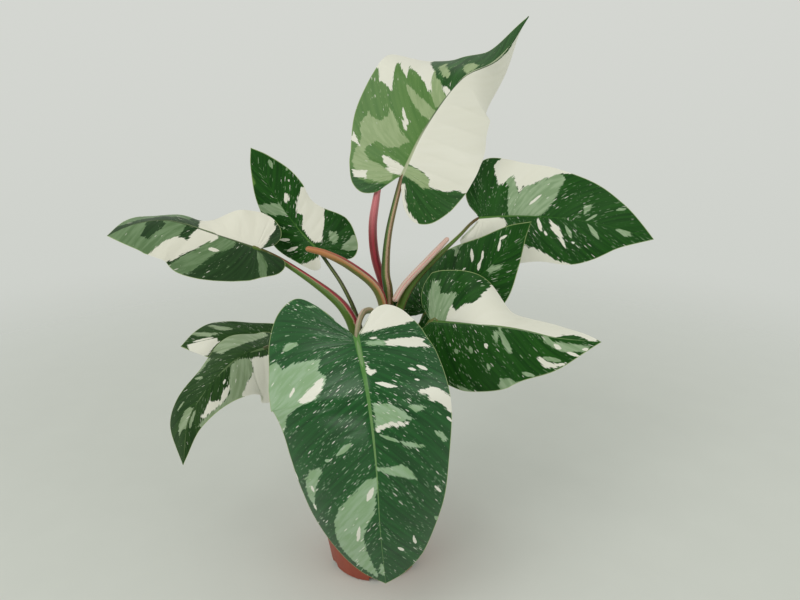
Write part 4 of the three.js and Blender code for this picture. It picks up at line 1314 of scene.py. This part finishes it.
def tube(name, points, radii, sides=20, step=2.5, shape=None, first=FRONT):
    """A tube through points. shape gives a factor on its radius at each turn, from -0.5 to 0.5."""
    path = Path(points)
    rings = max(2 * CAP_RINGS + 4, round(path.length / step))
    places, girth = stations(path.length, radii[0], radii[-1], rings)
    piece, turn, share = grid(name, sides, rings)
    ring = np.rint(share * rings).astype(int)
    fronts = carried(path.heading(places), first)[ring]
    heading = path.heading(places)[ring]
    rights = np.cross(heading, fronts)
    radius = through(np.array(radii)[:, None], places)[ring, 0] * girth[ring]
    turn = turn - 0.5
    if shape:
        radius = radius * shape(turn, places[ring])
    angle = 2 * np.pi * turn
    ways = np.cos(angle)[:, None] * fronts + np.sin(angle)[:, None] * rights
    place_points(piece, path.at(places)[ring] + radius[:, None] * ways)
    keep(piece, "skin", np.cos(angle), np.sin(angle), places[ring] * path.length)
    keep(piece, "length", places[ring], 0, 0)
    in_edit_mode(piece, merge_doubles)
    smooth_by_angle(piece, 80)
    return piece


# %% Ribs under the blades
RIB_END = 0.96
RIB_TIP = 0.35
RIB_BELOW = 0.15


def rib_radii(radius, shares):
    """A rib tapers quickly at first and then slowly."""
    return radius * (1 - shares) ** 1.5 + RIB_TIP


def rib_points(blade, radius, shares):
    """Places under a blade's midrib, where a rib just clears the upper face."""
    face = blade.directions(shares)[1]
    sunk = rib_radii(radius, shares) + RIB_BELOW + GROOVE * (1 - shares)
    return blade.midrib.at(shares) - face * sunk[:, None]


def add_rib(name, blade, radius):
    """The raised rib for a blade's underside, with the attributes that the leaf finish reads."""
    shares = np.linspace(0, RIB_END, 9)
    first = -blade.directions(np.array([0.0]))[1][0]
    points = rib_points(blade, radius, shares)
    rib = tube(name + "_rib", points, rib_radii(radius, shares), sides=12, step=4, first=first)
    keep(rib, "marks", -FAR, -FAR, -FAR)
    keep(rib, "edges", 0, FAR, 0)
    keep(rib, "veins", 0, 0, 0)
    return rib


RIB_RADIUS = {"leaf_front": 1.8, "leaf_top": 1.8, "leaf_right": 1.6, "leaf_low_right": 1.5}
SMALL_RIB = 1.3
for name, piece in blade_pieces.items():
    look = LEAF_LOOKS.get(name, "deep")
    rib = add_rib(name, blades[name], RIB_RADIUS.get(name, SMALL_RIB))
    piece.data.materials[0] = upper_finishes[look]
    piece.data.materials[1] = under_finishes[look]
    rib.data.materials.append(upper_finishes[look])
    rib.data.materials.append(under_finishes[look])
    for face in rib.data.polygons:
        face.material_index = 1
    whole = join(name + "_blade", [piece, rib])
    finish_piece(whole, name, "leaf_pale" if name in ("leaf_top", "leaf_left") else "leaf")
print("leaves dressed:", len(blade_pieces))

# %% [markdown]
# ## The striped stalks and sheaths
#
# The stalks are green with lengthwise stripes of maroon, tan and pink, and each shows its own mixture.
# A few of the pale tan, orange and pink lines are painted highlights.
# The sheaths that wrapped the young leaves are shorter, flatter and redder. The stripes are a colour
# ramp read round the tube, with a little noise to make them wander. Places round a tube run from 0 at
# the back through 0.5 at the front and back again, so a ramp starts and ends with the same colour.
#
# A stalk's root is sunk into the stem and its upper end runs into the rib under the blade.

# %% Stalk finishes
SKIN = {
    "green": screen(74, 106, 30), "dark": screen(40, 66, 30), "olive": screen(104, 112, 56),
    "tan": screen(176, 148, 118), "brown": screen(104, 62, 46), "maroon": screen(116, 34, 44),
    "red": screen(160, 44, 60), "pink": screen(206, 124, 128), "rose": screen(206, 172, 160),
    "orange": screen(178, 116, 70), "grey": screen(128, 132, 96), "blush": screen(212, 190, 174),
}


TIP_FADE = 0.12
STALK_TIP = 0.85


def fibres(skin, around, along):
    """Fine lines drawn out along a tube."""
    moved = skin.node("ShaderNodeMapping", {}, {"Vector": skin, "Scale": (around, around, along)})
    return skin.node("ShaderNodeTexNoise", {}, {"Vector": moved, "Scale": 1.0, "Detail": 3.0}, "Fac")


def stalk_finish(name, stripes, tip, tip_from):
    """Lengthwise stripes, that change to the tip colour past a share of the length."""
    material, tree = new_material(name)
    skin = attribute(tree, "skin")
    cosine, sine = parts(skin)[:2]
    share = parts(attribute(tree, "length"))[0]
    tip_start, tip_end = tip_from - TIP_FADE, tip_from + TIP_FADE
    wander = (streaks(skin, 0.9, 0.9, 1) - 0.5) * 0.05
    turn = tree.maths("ARCTAN2", sine, cosine) * (0.5 / math.pi) + 0.5 + wander
    stops = [(place, SKIN[shade_name]) for place, shade_name in stripes]
    colour = tree.node("ShaderNodeValToRGB", {"stops": stops}, {"Fac": turn})
    lines = fibres(skin, 5, 0.05)
    colour = (lines.between(0.45, 0.75) * 0.35).mixed(colour, SKIN["olive"])
    colour = (share.between(tip_start, tip_end) * 0.75).mixed(colour, SKIN[tip])
    shade(tree, colour, 0.34 + lines * 0.12, lines, 0.12, specular=0.35)
    return material


# %% Stalks and sheaths
STEM_POINTS = [(1, 3, 56), (0, 4, 120), (4, 5, 178), (9, 7, 214), (12, 8, 236)]
ROOT_DROP = 14
ROOT_SUNK = 0.4

PLAIN_STRIPES = [
    (0, "green"), (0.4, "green"), (0.6, "olive"), (0.72, "brown"), (0.8, "tan"), (1, "green"),
]
STALKS = {
    "petiole_top": {
        "radii": (4.4, 3.6, 3, 2.6),
        "points": [(13, 8, 237.5), (13, 9, 256), (11, 13, 272), (14, 22, 304)],
        "stripes": [
            (0, "olive"), (0.26, "green"), (0.36, "dark"), (0.47, "green"), (0.5, "tan"), (0.55, "tan"),
            (0.575, "brown"), (0.66, "olive"), (0.74, "maroon"), (0.8, "brown"), (1, "olive"),
        ],
        "tip": "brown",
    },
    "petiole_right": {
        "radii": (4, 3.6, 2.3, 1.6),
        "points": [
            (22, 6, 206), (23, 4, 224), (23, 2, 242), (34, 7, 263), (56, 17, 284), (74, 33, 297),
            (84, 44, 304.5),
        ],
        "stripes": [
            (0, "green"), (0.28, "tan"), (0.38, "green"), (0.6, "green"), (0.66, "brown"), (0.8, "olive"),
            (1, "green"),
        ],
        "tip": "brown",
    },
    "petiole_inner": {
        "radii": (3.6, 3, 2.6),
        "points": [(15, 11, 158), (24, 17, 190), (40, 24, 216)],
        "stripes": [(0, "green"), (0.4, "dark"), (0.55, "green"), (0.62, "brown"), (1, "green")],
        "tip": "olive",
    },
    "petiole_low_right": {
        "radii": (3.6, 3, 2.6),
        "points": [(14, -3, 150), (26, -8, 190)],
        "stripes": [(0, "green"), (0.4, "green"), (0.55, "tan"), (0.62, "brown"), (1, "green")],
        "tip": "olive",
    },
    "petiole_front": {
        "radii": (3.2, 2.8, 2.4, 2.2),
        "points": [(4, -7, 172), (4, -14, 225), (2, -28, 248), (-3, -50, 257), (-6, -68, 256)],
        # The tan lines on this stalk are painted highlight lines.
        "stripes": [
            (0, "rose"), (0.1, "tan"), (0.3, "grey"), (0.5, "green"), (0.7, "grey"), (0.85, "tan"),
            (0.93, "grey"), (1, "rose"),
        ],
        "tip": "grey",
    },
    "petiole_left": {
        "radii": (5, 5.5, 4.6, 3.4, 2.6),
        "points": [(-11, 7, 178), (-13, 5, 210), (-20, 6, 234), (-37, 16, 250), (-76, 34, 272)],
        "stripes": [
            (0, "green"), (0.26, "brown"), (0.32, "green"), (0.55, "green"), (0.575, "tan"),
            (0.6, "red"), (0.7, "maroon"), (0.73, "tan"), (0.78, "green"), (1, "green"),
        ],
        "tip": "green",
    },
    "petiole_upper_left": {
        "radii": (3, 2.3, 1.9, 1.8),
        "points": [(-4, 15, 172), (-13, 24, 220), (-26, 34, 249), (-42, 51, 268)],
        "stripes": [(0, "dark"), (0.4, "dark"), (0.5, "olive"), (0.6, "dark"), (0.74, "brown"), (1, "dark")],
        "tip": "dark",
    },
    "petiole_arching": {
        "radii": (3.4, 2.8, 2.5),
        "points": [(-10, -3, 128), (-34, -4, 168), (-66, 0, 193)],
        "stripes": PLAIN_STRIPES,
        "tip": "dark",
    },
    "petiole_low_left": {
        "radii": (3.4, 2.8, 2.5),
        "points": [(-12, 7, 112), (-30, 14, 160), (-58, 26, 196)],
        "stripes": PLAIN_STRIPES,
        "tip": "olive",
    },
}


def stem_centre(height):
    """The middle of the stem at a height."""
    stem_points = np.array(STEM_POINTS, float)
    sideways = [np.interp(height, stem_points[:, 2], stem_points[:, axis]) for axis in (0, 1)]
    return np.array([*sideways, height])


def rooted(points):
    """Points with a root added, that starts inside the stem below the first of them."""
    first = np.array(points[0], float)
    centre = stem_centre(first[2] - ROOT_DROP)
    root = centre + (first - centre) * (ROOT_SUNK, ROOT_SUNK, 0)
    return [tuple(root), *points]


def stalk_shape(turn, share):
    """A stalk's section is a little oval."""
    return 1 + 0.05 * np.cos(4 * np.pi * turn)


for name, stalk in STALKS.items():
    leaf = name.replace("petiole", "leaf")
    blade = blades[leaf]
    under = rib_points(blade, RIB_RADIUS.get(leaf, SMALL_RIB), np.array([0.0, 0.05]))
    points = rooted(stalk["points"]) + [tuple(point) for point in under]
    radii = (1.2 * stalk["radii"][0], *stalk["radii"], 0.8 * stalk["radii"][-1])
    piece = tube(name + "_stalk", points, radii, sides=24, shape=stalk_shape)
    finish = stalk_finish(name + "_stripes", stalk["stripes"], stalk["tip"], STALK_TIP)
    finish_piece(piece, name, "petiole", finish)
print("stalks:", len(STALKS))

SHEATHS = {
    "sheath_red": {
        "radii": (3.6, 4.2, 4.2, 3.8, 2.2),
        "points": [(12, 20, 216), (10, 20, 250), (2, 24, 280), (0, 30, 305), (3, 37, 328), (7, 44, 348)],
        # The pink stripe down its left side is a painted highlight line.
        "stripes": [
            (0, "maroon"), (0.24, "pink"), (0.3, "red"), (0.42, "maroon"), (0.5, "red"), (0.6, "maroon"),
            (0.7, "red"), (0.76, "pink"), (0.8, "maroon"), (1, "maroon"),
        ],
        "tip": "pink",
        "tip_from": 0.72,
    },
    "sheath_orange": {
        "radii": (3.6, 4.4, 4.2, 3.6, 2.4),
        "points": [
            (9, -5, 214), (10, -4, 240), (3, -4, 262), (-17, -6, 280), (-36, -9, 291), (-51, -12, 296),
        ],
        # The tan and orange stripes are painted highlights over the olive body; the orange of the tip is its
        # own colour.
        "stripes": [
            (0, "olive"), (0.24, "brown"), (0.29, "tan"), (0.36, "olive"), (0.5, "olive"),
            (0.56, "orange"), (0.62, "tan"), (0.66, "maroon"), (0.74, "red"), (0.8, "maroon"),
            (0.9, "olive"), (1, "olive"),
        ],
        "tip": "orange",
        "tip_from": 0.8,
    },
    "sheath_pale": {
        "radii": (3, 3, 2.8, 2.2),
        "points": [(18, -6, 250), (27, 0, 263), (45, 7.5, 281), (63, 14, 299)],
        "stripes": [
            (0, "rose"), (0.24, "pink"), (0.29, "blush"), (0.42, "blush"), (0.46, "pink"), (0.5, "blush"),
            (0.6, "rose"), (0.66, "tan"), (0.72, "blush"), (0.78, "pink"), (1, "rose"),
        ],
        "tip": "rose",
        "tip_from": 0.8,
    },
}


def sheath_shape(turn, share):
    """A sheath is folded: flat on two sides, with a keel along its back."""
    return 0.95 + 0.08 * np.cos(4 * np.pi * turn) + 0.05 * np.cos(6 * np.pi * turn)


for name, sheath in SHEATHS.items():
    points, radii = sheath["points"], sheath["radii"]
    if name != "sheath_pale":
        points, radii = rooted(points), (radii[0], *radii)
    piece = tube(name + "_skin", points, radii, sides=28, step=2, shape=sheath_shape)
    finish = stalk_finish(name + "_stripes", sheath["stripes"], sheath["tip"], sheath["tip_from"])
    finish_piece(piece, name, name, finish)
print("sheaths:", len(SHEATHS))

# %% [markdown]
# ## The stem
#
# The stem is short and thick, with a raised ring where each leaf left or leaves it. It is a tube like
# the stalks, with more rings, and a swelling at each node is worked into its girth. Its skin is green
# and olive in fine lengthwise lines, with tan corky patches spread by noise.

# %% Stem
STEM_RADII = (9, 9, 8.4, 7.6, 6)
STEM_NODES = (104, 122, 141, 158, 175, 193, 209, 223)
NODE_SWELL = 0.1
NODE_WIDTH = 2.2
STEM_RIDGES = 0.015
stem_path = Path(STEM_POINTS)


def node_rings(share):
    """1 on a node of the stem and 0 between nodes."""
    heights = stem_path.at(share)[:, 2]
    nearest = np.min([np.abs(heights - height) for height in STEM_NODES], axis=0)
    return np.exp(-((nearest / NODE_WIDTH) ** 2))


def stem_shape(turn, share):
    """The stem swells at its nodes and has five faint ridges."""
    return 1 + NODE_SWELL * node_rings(share) + STEM_RIDGES * np.cos(10 * np.pi * turn)


stem_piece = tube("stem_skin", STEM_POINTS, STEM_RADII, sides=40, step=1.2, shape=stem_shape)
stem_finish, tree = new_material("stem_finish")
stem_place = own_place(tree)
cork = streaks(stem_place, 0.002, 0.002, 3, 4)
stem_skin = attribute(tree, "skin")
stem_colour = fibres(stem_skin, 4, 0.08).between(0.35, 0.65).mixed(SKIN["olive"], SKIN["green"])
stem_colour = cork.between(0.52, 0.66).mixed(stem_colour, screen(120, 98, 66))
shade(tree, stem_colour, 0.5 + cork * 0.2, cork, 0.3)
finish_piece(stem_piece, "stem", "stem", stem_finish)
print("stem faces:", len(stem_piece.data.polygons))

# %% [markdown]
# ## The pot
#
# The pot is a thin tapered nursery pot in terracotta-brown plastic, with a stepped rim, drain slots
# round its lower edge and holes in its floor. It is made as it would be by hand: a disc is extruded
# up the outside, over the rim and down the inside to the floor, and each new edge is scaled to its
# radius. The slots and holes are cut by cutters, and a small bevel rounds the moulded edges.

# %% Pot
POT_HEIGHT = 100
POT_TOP = 60
POT_BASE = 42
POT_WALL = 1.6
POT_FLOOR = 2
RIM_HEIGHT = 13
RIM_STEP = 2.2
BASE_EDGE = 3
DRAIN_SLOTS = 6
SLOT_CUTTER = (9, 9, 10)
DRAIN_HOLES = 4
DRAIN_HOLE_PLACE = 24
DRAIN_HOLE_RADIUS = 4
POT_SIDES = 128
EDGE_ROUNDING = 0.35


def pot_radius(height):
    """The outer radius of the pot below its rim."""
    return POT_BASE + (POT_TOP - RIM_STEP - POT_BASE) * height / POT_HEIGHT


RIM_BOTTOM = POT_HEIGHT - RIM_HEIGHT
POT_OUTLINE = [
    (POT_BASE - BASE_EDGE / 2, 0),
    (POT_BASE, BASE_EDGE / 2),
    (pot_radius(RIM_BOTTOM), RIM_BOTTOM),
    (POT_TOP - 0.6, RIM_BOTTOM),
    (POT_TOP, POT_HEIGHT - 1),
    (POT_TOP - 1, POT_HEIGHT),
    (POT_TOP - RIM_STEP, POT_HEIGHT),
    (pot_radius(RIM_BOTTOM) - POT_WALL, RIM_BOTTOM - 1),
    (pot_radius(POT_FLOOR) - POT_WALL, POT_FLOOR),
]


def turned_up(name, outline, sides):
    """A disc extruded and scaled along an outline of radii and heights."""
    deselect()
    radius, height = outline[0]
    bpy.ops.mesh.primitive_circle_add(
        vertices=sides, radius=radius * MM, fill_type="NGON", location=(0, 0, height * MM)
    )
    piece = bpy.context.object
    piece.name = name
    bpy.ops.object.transform_apply(location=True)
    bpy.ops.object.mode_set(mode="EDIT")
    bpy.ops.mesh.select_mode(type="FACE")
    bpy.ops.mesh.select_all(action="SELECT")
    for next_radius, next_height in outline[1:]:
        rise = (next_height - height) * MM
        bpy.ops.mesh.extrude_region_move(TRANSFORM_OT_translate={"value": (0, 0, rise)})
        factor = next_radius / radius
        centre = (0, 0, next_height * MM)
        bpy.ops.transform.resize(value=(factor, factor, 1), center_override=centre)
        radius, height = next_radius, next_height
    bpy.ops.object.mode_set(mode="OBJECT")
    return piece


def cut(piece, cutter):
    """Takes a cutter out of a piece and deletes the cutter."""
    select_only(cutter)
    bpy.ops.object.transform_apply(location=True, rotation=True, scale=True)
    apply_modifier(piece, "BOOLEAN", operation="DIFFERENCE", object=cutter, solver="EXACT")
    bpy.data.objects.remove(cutter)


def floor_place_at(reach, turn):
    """A place on the floor, this far from the pot's axis at this share of a turn, and its angle."""
    angle = 2 * math.pi * turn
    return (reach * MM * math.cos(angle), reach * MM * math.sin(angle), 0), angle


pot = turned_up("pot_shell", POT_OUTLINE, POT_SIDES)
for i in range(DRAIN_SLOTS):
    place, angle = floor_place_at(POT_BASE, (i + 0.5) / DRAIN_SLOTS)
    deselect()
    bpy.ops.mesh.primitive_cube_add(
        size=MM, location=place, rotation=(0, 0, angle), scale=SLOT_CUTTER
    )
    cut(pot, bpy.context.object)
for i in range(DRAIN_HOLES):
    place, angle = floor_place_at(DRAIN_HOLE_PLACE, i / DRAIN_HOLES)
    radius, depth = DRAIN_HOLE_RADIUS * MM, 4 * POT_FLOOR * MM
    deselect()
    bpy.ops.mesh.primitive_cylinder_add(vertices=24, radius=radius, depth=depth, location=place)
    cut(pot, bpy.context.object)
bevel = {"width": EDGE_ROUNDING * MM, "segments": 2, "angle_limit": math.radians(35)}
apply_modifier(pot, "BEVEL", limit_method="ANGLE", **bevel)
smooth_by_angle(pot, 40)

pot_finish, tree = new_material("pot_plastic")
pot_place = own_place(tree)
pores = streaks(pot_place, 0.0012, 0.0012, 2, 4)
cloud = streaks(pot_place, 0.03, 0.03, 5, 3)
pot_colour = cloud.between(0.3, 0.7).mixed(screen(146, 62, 42), screen(164, 76, 52))
pot_colour = (pores.between(0.58, 0.72) * 0.3).mixed(pot_colour, screen(190, 120, 92))
shade(tree, pot_colour, 0.42 + pores * 0.2, pores, 0.08)
finish_piece(pot, "pot", "pot", pot_finish)
print("pot faces:", len(pot.data.polygons))

# %% [markdown]
# ## The potting mix
#
# The mix is dark and open, with pieces of bark and white grains of perlite lying in it. Its body is a
# disc-shaped fill with an uneven top, made by rolling a grid round the pot's axis along an outline.
# The bark and the perlite are real small shapes scattered over the top with a fixed seed: one chip
# and one grain are modelled, and each copy is turned, stretched and set down on the surface.

# %% Potting mix
MIX_LEVEL = 88
MIX_HOLE = 10.25
MIX_HOLE_DEPTH = 34
MIX_SIDES = 144
MIX_RINGS = 40
GAP = 0.35


def mix_lumps(x, y):
    """The uneven top, with the coarse lumps of the solid and finer ones between them."""
    coarse = np.sin(0.31 * x) * np.cos(0.27 * y) + 0.5 * np.sin(0.53 * (x + y))
    fine = np.sin(1.3 * x + 0.4 * y) * np.sin(1.1 * y - 0.5 * x + 2)
    return 1.2 * coarse + 0.5 * fine


mix_bottom = POT_FLOOR + GAP
mix_edge = pot_radius(MIX_LEVEL) - POT_WALL - GAP
low_edge = pot_radius(mix_bottom) - POT_WALL - GAP
ring_step = (mix_edge - MIX_HOLE - 2) / MIX_RINGS
top_rings = [(mix_edge - 0.5 - i * ring_step, MIX_LEVEL) for i in range(MIX_RINGS + 1)]
mix_outline = np.array(
    [(0, mix_bottom), (low_edge - 0.5, mix_bottom), (mix_edge - 0.3, MIX_LEVEL - 2)]
    + top_rings
    + [(MIX_HOLE, MIX_LEVEL - 1), (MIX_HOLE, MIX_LEVEL - MIX_HOLE_DEPTH), (0, MIX_LEVEL - MIX_HOLE_DEPTH)]
)
mix, around, down = grid("potting_mix_top", MIX_SIDES, len(mix_outline) - 1)
step = np.rint(down * (len(mix_outline) - 1)).astype(int)
radius, height = mix_outline[step, 0], mix_outline[step, 1]
x = radius * np.cos(2 * np.pi * around)
y = radius * np.sin(2 * np.pi * around)
height = height + np.where(height > MIX_LEVEL - 0.5, mix_lumps(x, y), 0)
nearness = np.where(step > 3, np.clip((mix_edge - radius) / (mix_edge - MIX_HOLE), 0, 1), 0)
x = x + STEM_POINTS[0][0] * nearness
y = y + STEM_POINTS[0][1] * nearness
place_points(mix, np.stack([x, y, height], axis=1))
in_edit_mode(mix, merge_doubles)
smooth_by_angle(mix, 60)

mix_finish, tree = new_material("potting_mix_finish")
mix_place = own_place(tree)
crumbs = streaks(mix_place, 0.0022, 0.0022, 1, 6)
fibre = streaks(mix_place, 0.0008, 0.006, 4, 4)
mix_colour = crumbs.between(0.35, 0.65).mixed(screen(34, 24, 18), screen(82, 60, 42))
mix_colour = fibre.between(0.6, 0.72).mixed(mix_colour, screen(120, 92, 64))
shade(tree, mix_colour, 0.92, crumbs, 1.5, 0.25)
finish_piece(mix, "potting_mix", "potting_mix", mix_finish)

# %% Bark and perlite
draw = random.Random(7)
BARK_CHIPS = 230
BARK_SIZES = (3.0, 8.5)
BARK_FLATNESS = 0.3
PERLITE_GRAINS = 120
PERLITE_SIZES = (1.4, 3.4)
PERLITE_FLATNESS = 0.8


def scattered(name, seed_piece, count, sizes, flatness):
    """Copies of one small shape, set down at random on the mix and joined."""
    copies = []
    for i in range(count):
        reach = MIX_HOLE + 3 + (mix_edge - MIX_HOLE - 6) * draw.random() ** 0.6
        angle = draw.uniform(0, 2 * math.pi)
        place = Vector((reach * math.cos(angle) + 1, reach * math.sin(angle) + 2, 0))
        size = draw.uniform(*sizes)
        place.z = MIX_LEVEL + float(mix_lumps(place.x, place.y)) + 0.2 * size
        tilt = Euler((draw.gauss(0, 0.35), draw.gauss(0, 0.35), draw.uniform(0, 2 * math.pi)))
        scale = Matrix.Diagonal((size, size * draw.uniform(0.45, 0.8), size * flatness, 1))
        copy = seed_piece.copy()
        copy.data = seed_piece.data.copy()
        copy.data.transform(Matrix.Translation(place * MM) @ tilt.to_matrix().to_4x4() @ scale)
        bpy.context.collection.objects.link(copy)
        copies.append(copy)
    bpy.data.objects.remove(seed_piece)
    return join(name, copies)


def lump(name):
    """A one-millimetre stone-like shape."""
    deselect()
    bpy.ops.mesh.primitive_ico_sphere_add(subdivisions=1, radius=0.5 * MM)
    piece = bpy.context.object
    piece.name = name
    for vertex in piece.data.vertices:
        vertex.co *= draw.uniform(0.8, 1.15)
    return piece


bark = scattered("bark_chips", lump("bark_seed"), BARK_CHIPS, BARK_SIZES, BARK_FLATNESS)
grain = lump("perlite_seed")
perlite = scattered("perlite_grains", grain, PERLITE_GRAINS, PERLITE_SIZES, PERLITE_FLATNESS)

bark_finish, tree = new_material("bark_finish")
bark_place = own_place(tree)
bark_grain = streaks(bark_place, 0.0008, 0.004, 2, 4)
bark_tint = streaks(bark_place, 0.006, 0.006, 5, 1)
bark_colour = bark_tint.between(0.4, 0.6).mixed(screen(56, 36, 24), screen(112, 76, 50))
bark_colour = (bark_grain.between(0.5, 0.7) * 0.5).mixed(bark_colour, screen(38, 26, 18))
shade(tree, bark_colour, 0.88, bark_grain, 0.5, 0.3)

perlite_finish, tree = new_material("perlite_finish")
perlite_place = own_place(tree)
pits = streaks(perlite_place, 0.0006, 0.0006, 3, 3)
shade(tree, pits.mixed(screen(206, 204, 196), screen(238, 236, 230)), 0.9, pits, 0.3, 0.3)

for piece, finish in ((bark, bark_finish), (perlite, perlite_finish)):
    piece.data.materials.append(finish)
    smooth_by_angle(piece, 30)
    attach(piece, "root")
print("scattered:", BARK_CHIPS, "chips and", PERLITE_GRAINS, "grains")

# %% [markdown]
# ## The dressed plant's size
#
# The fine pieces are meant to stay in the box of the solids, apart from a small margin. Both boxes
# are printed, so that they can be compared.

# %% Size
deselect()
boxes = {"cad": [list(corner) for corner in cad_box], "visual": [list(corner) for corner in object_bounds()]}
for name, corners in boxes.items():
    print(name, "box, mm:", [[round(part / MM, 1) for part in corner] for corner in corners])
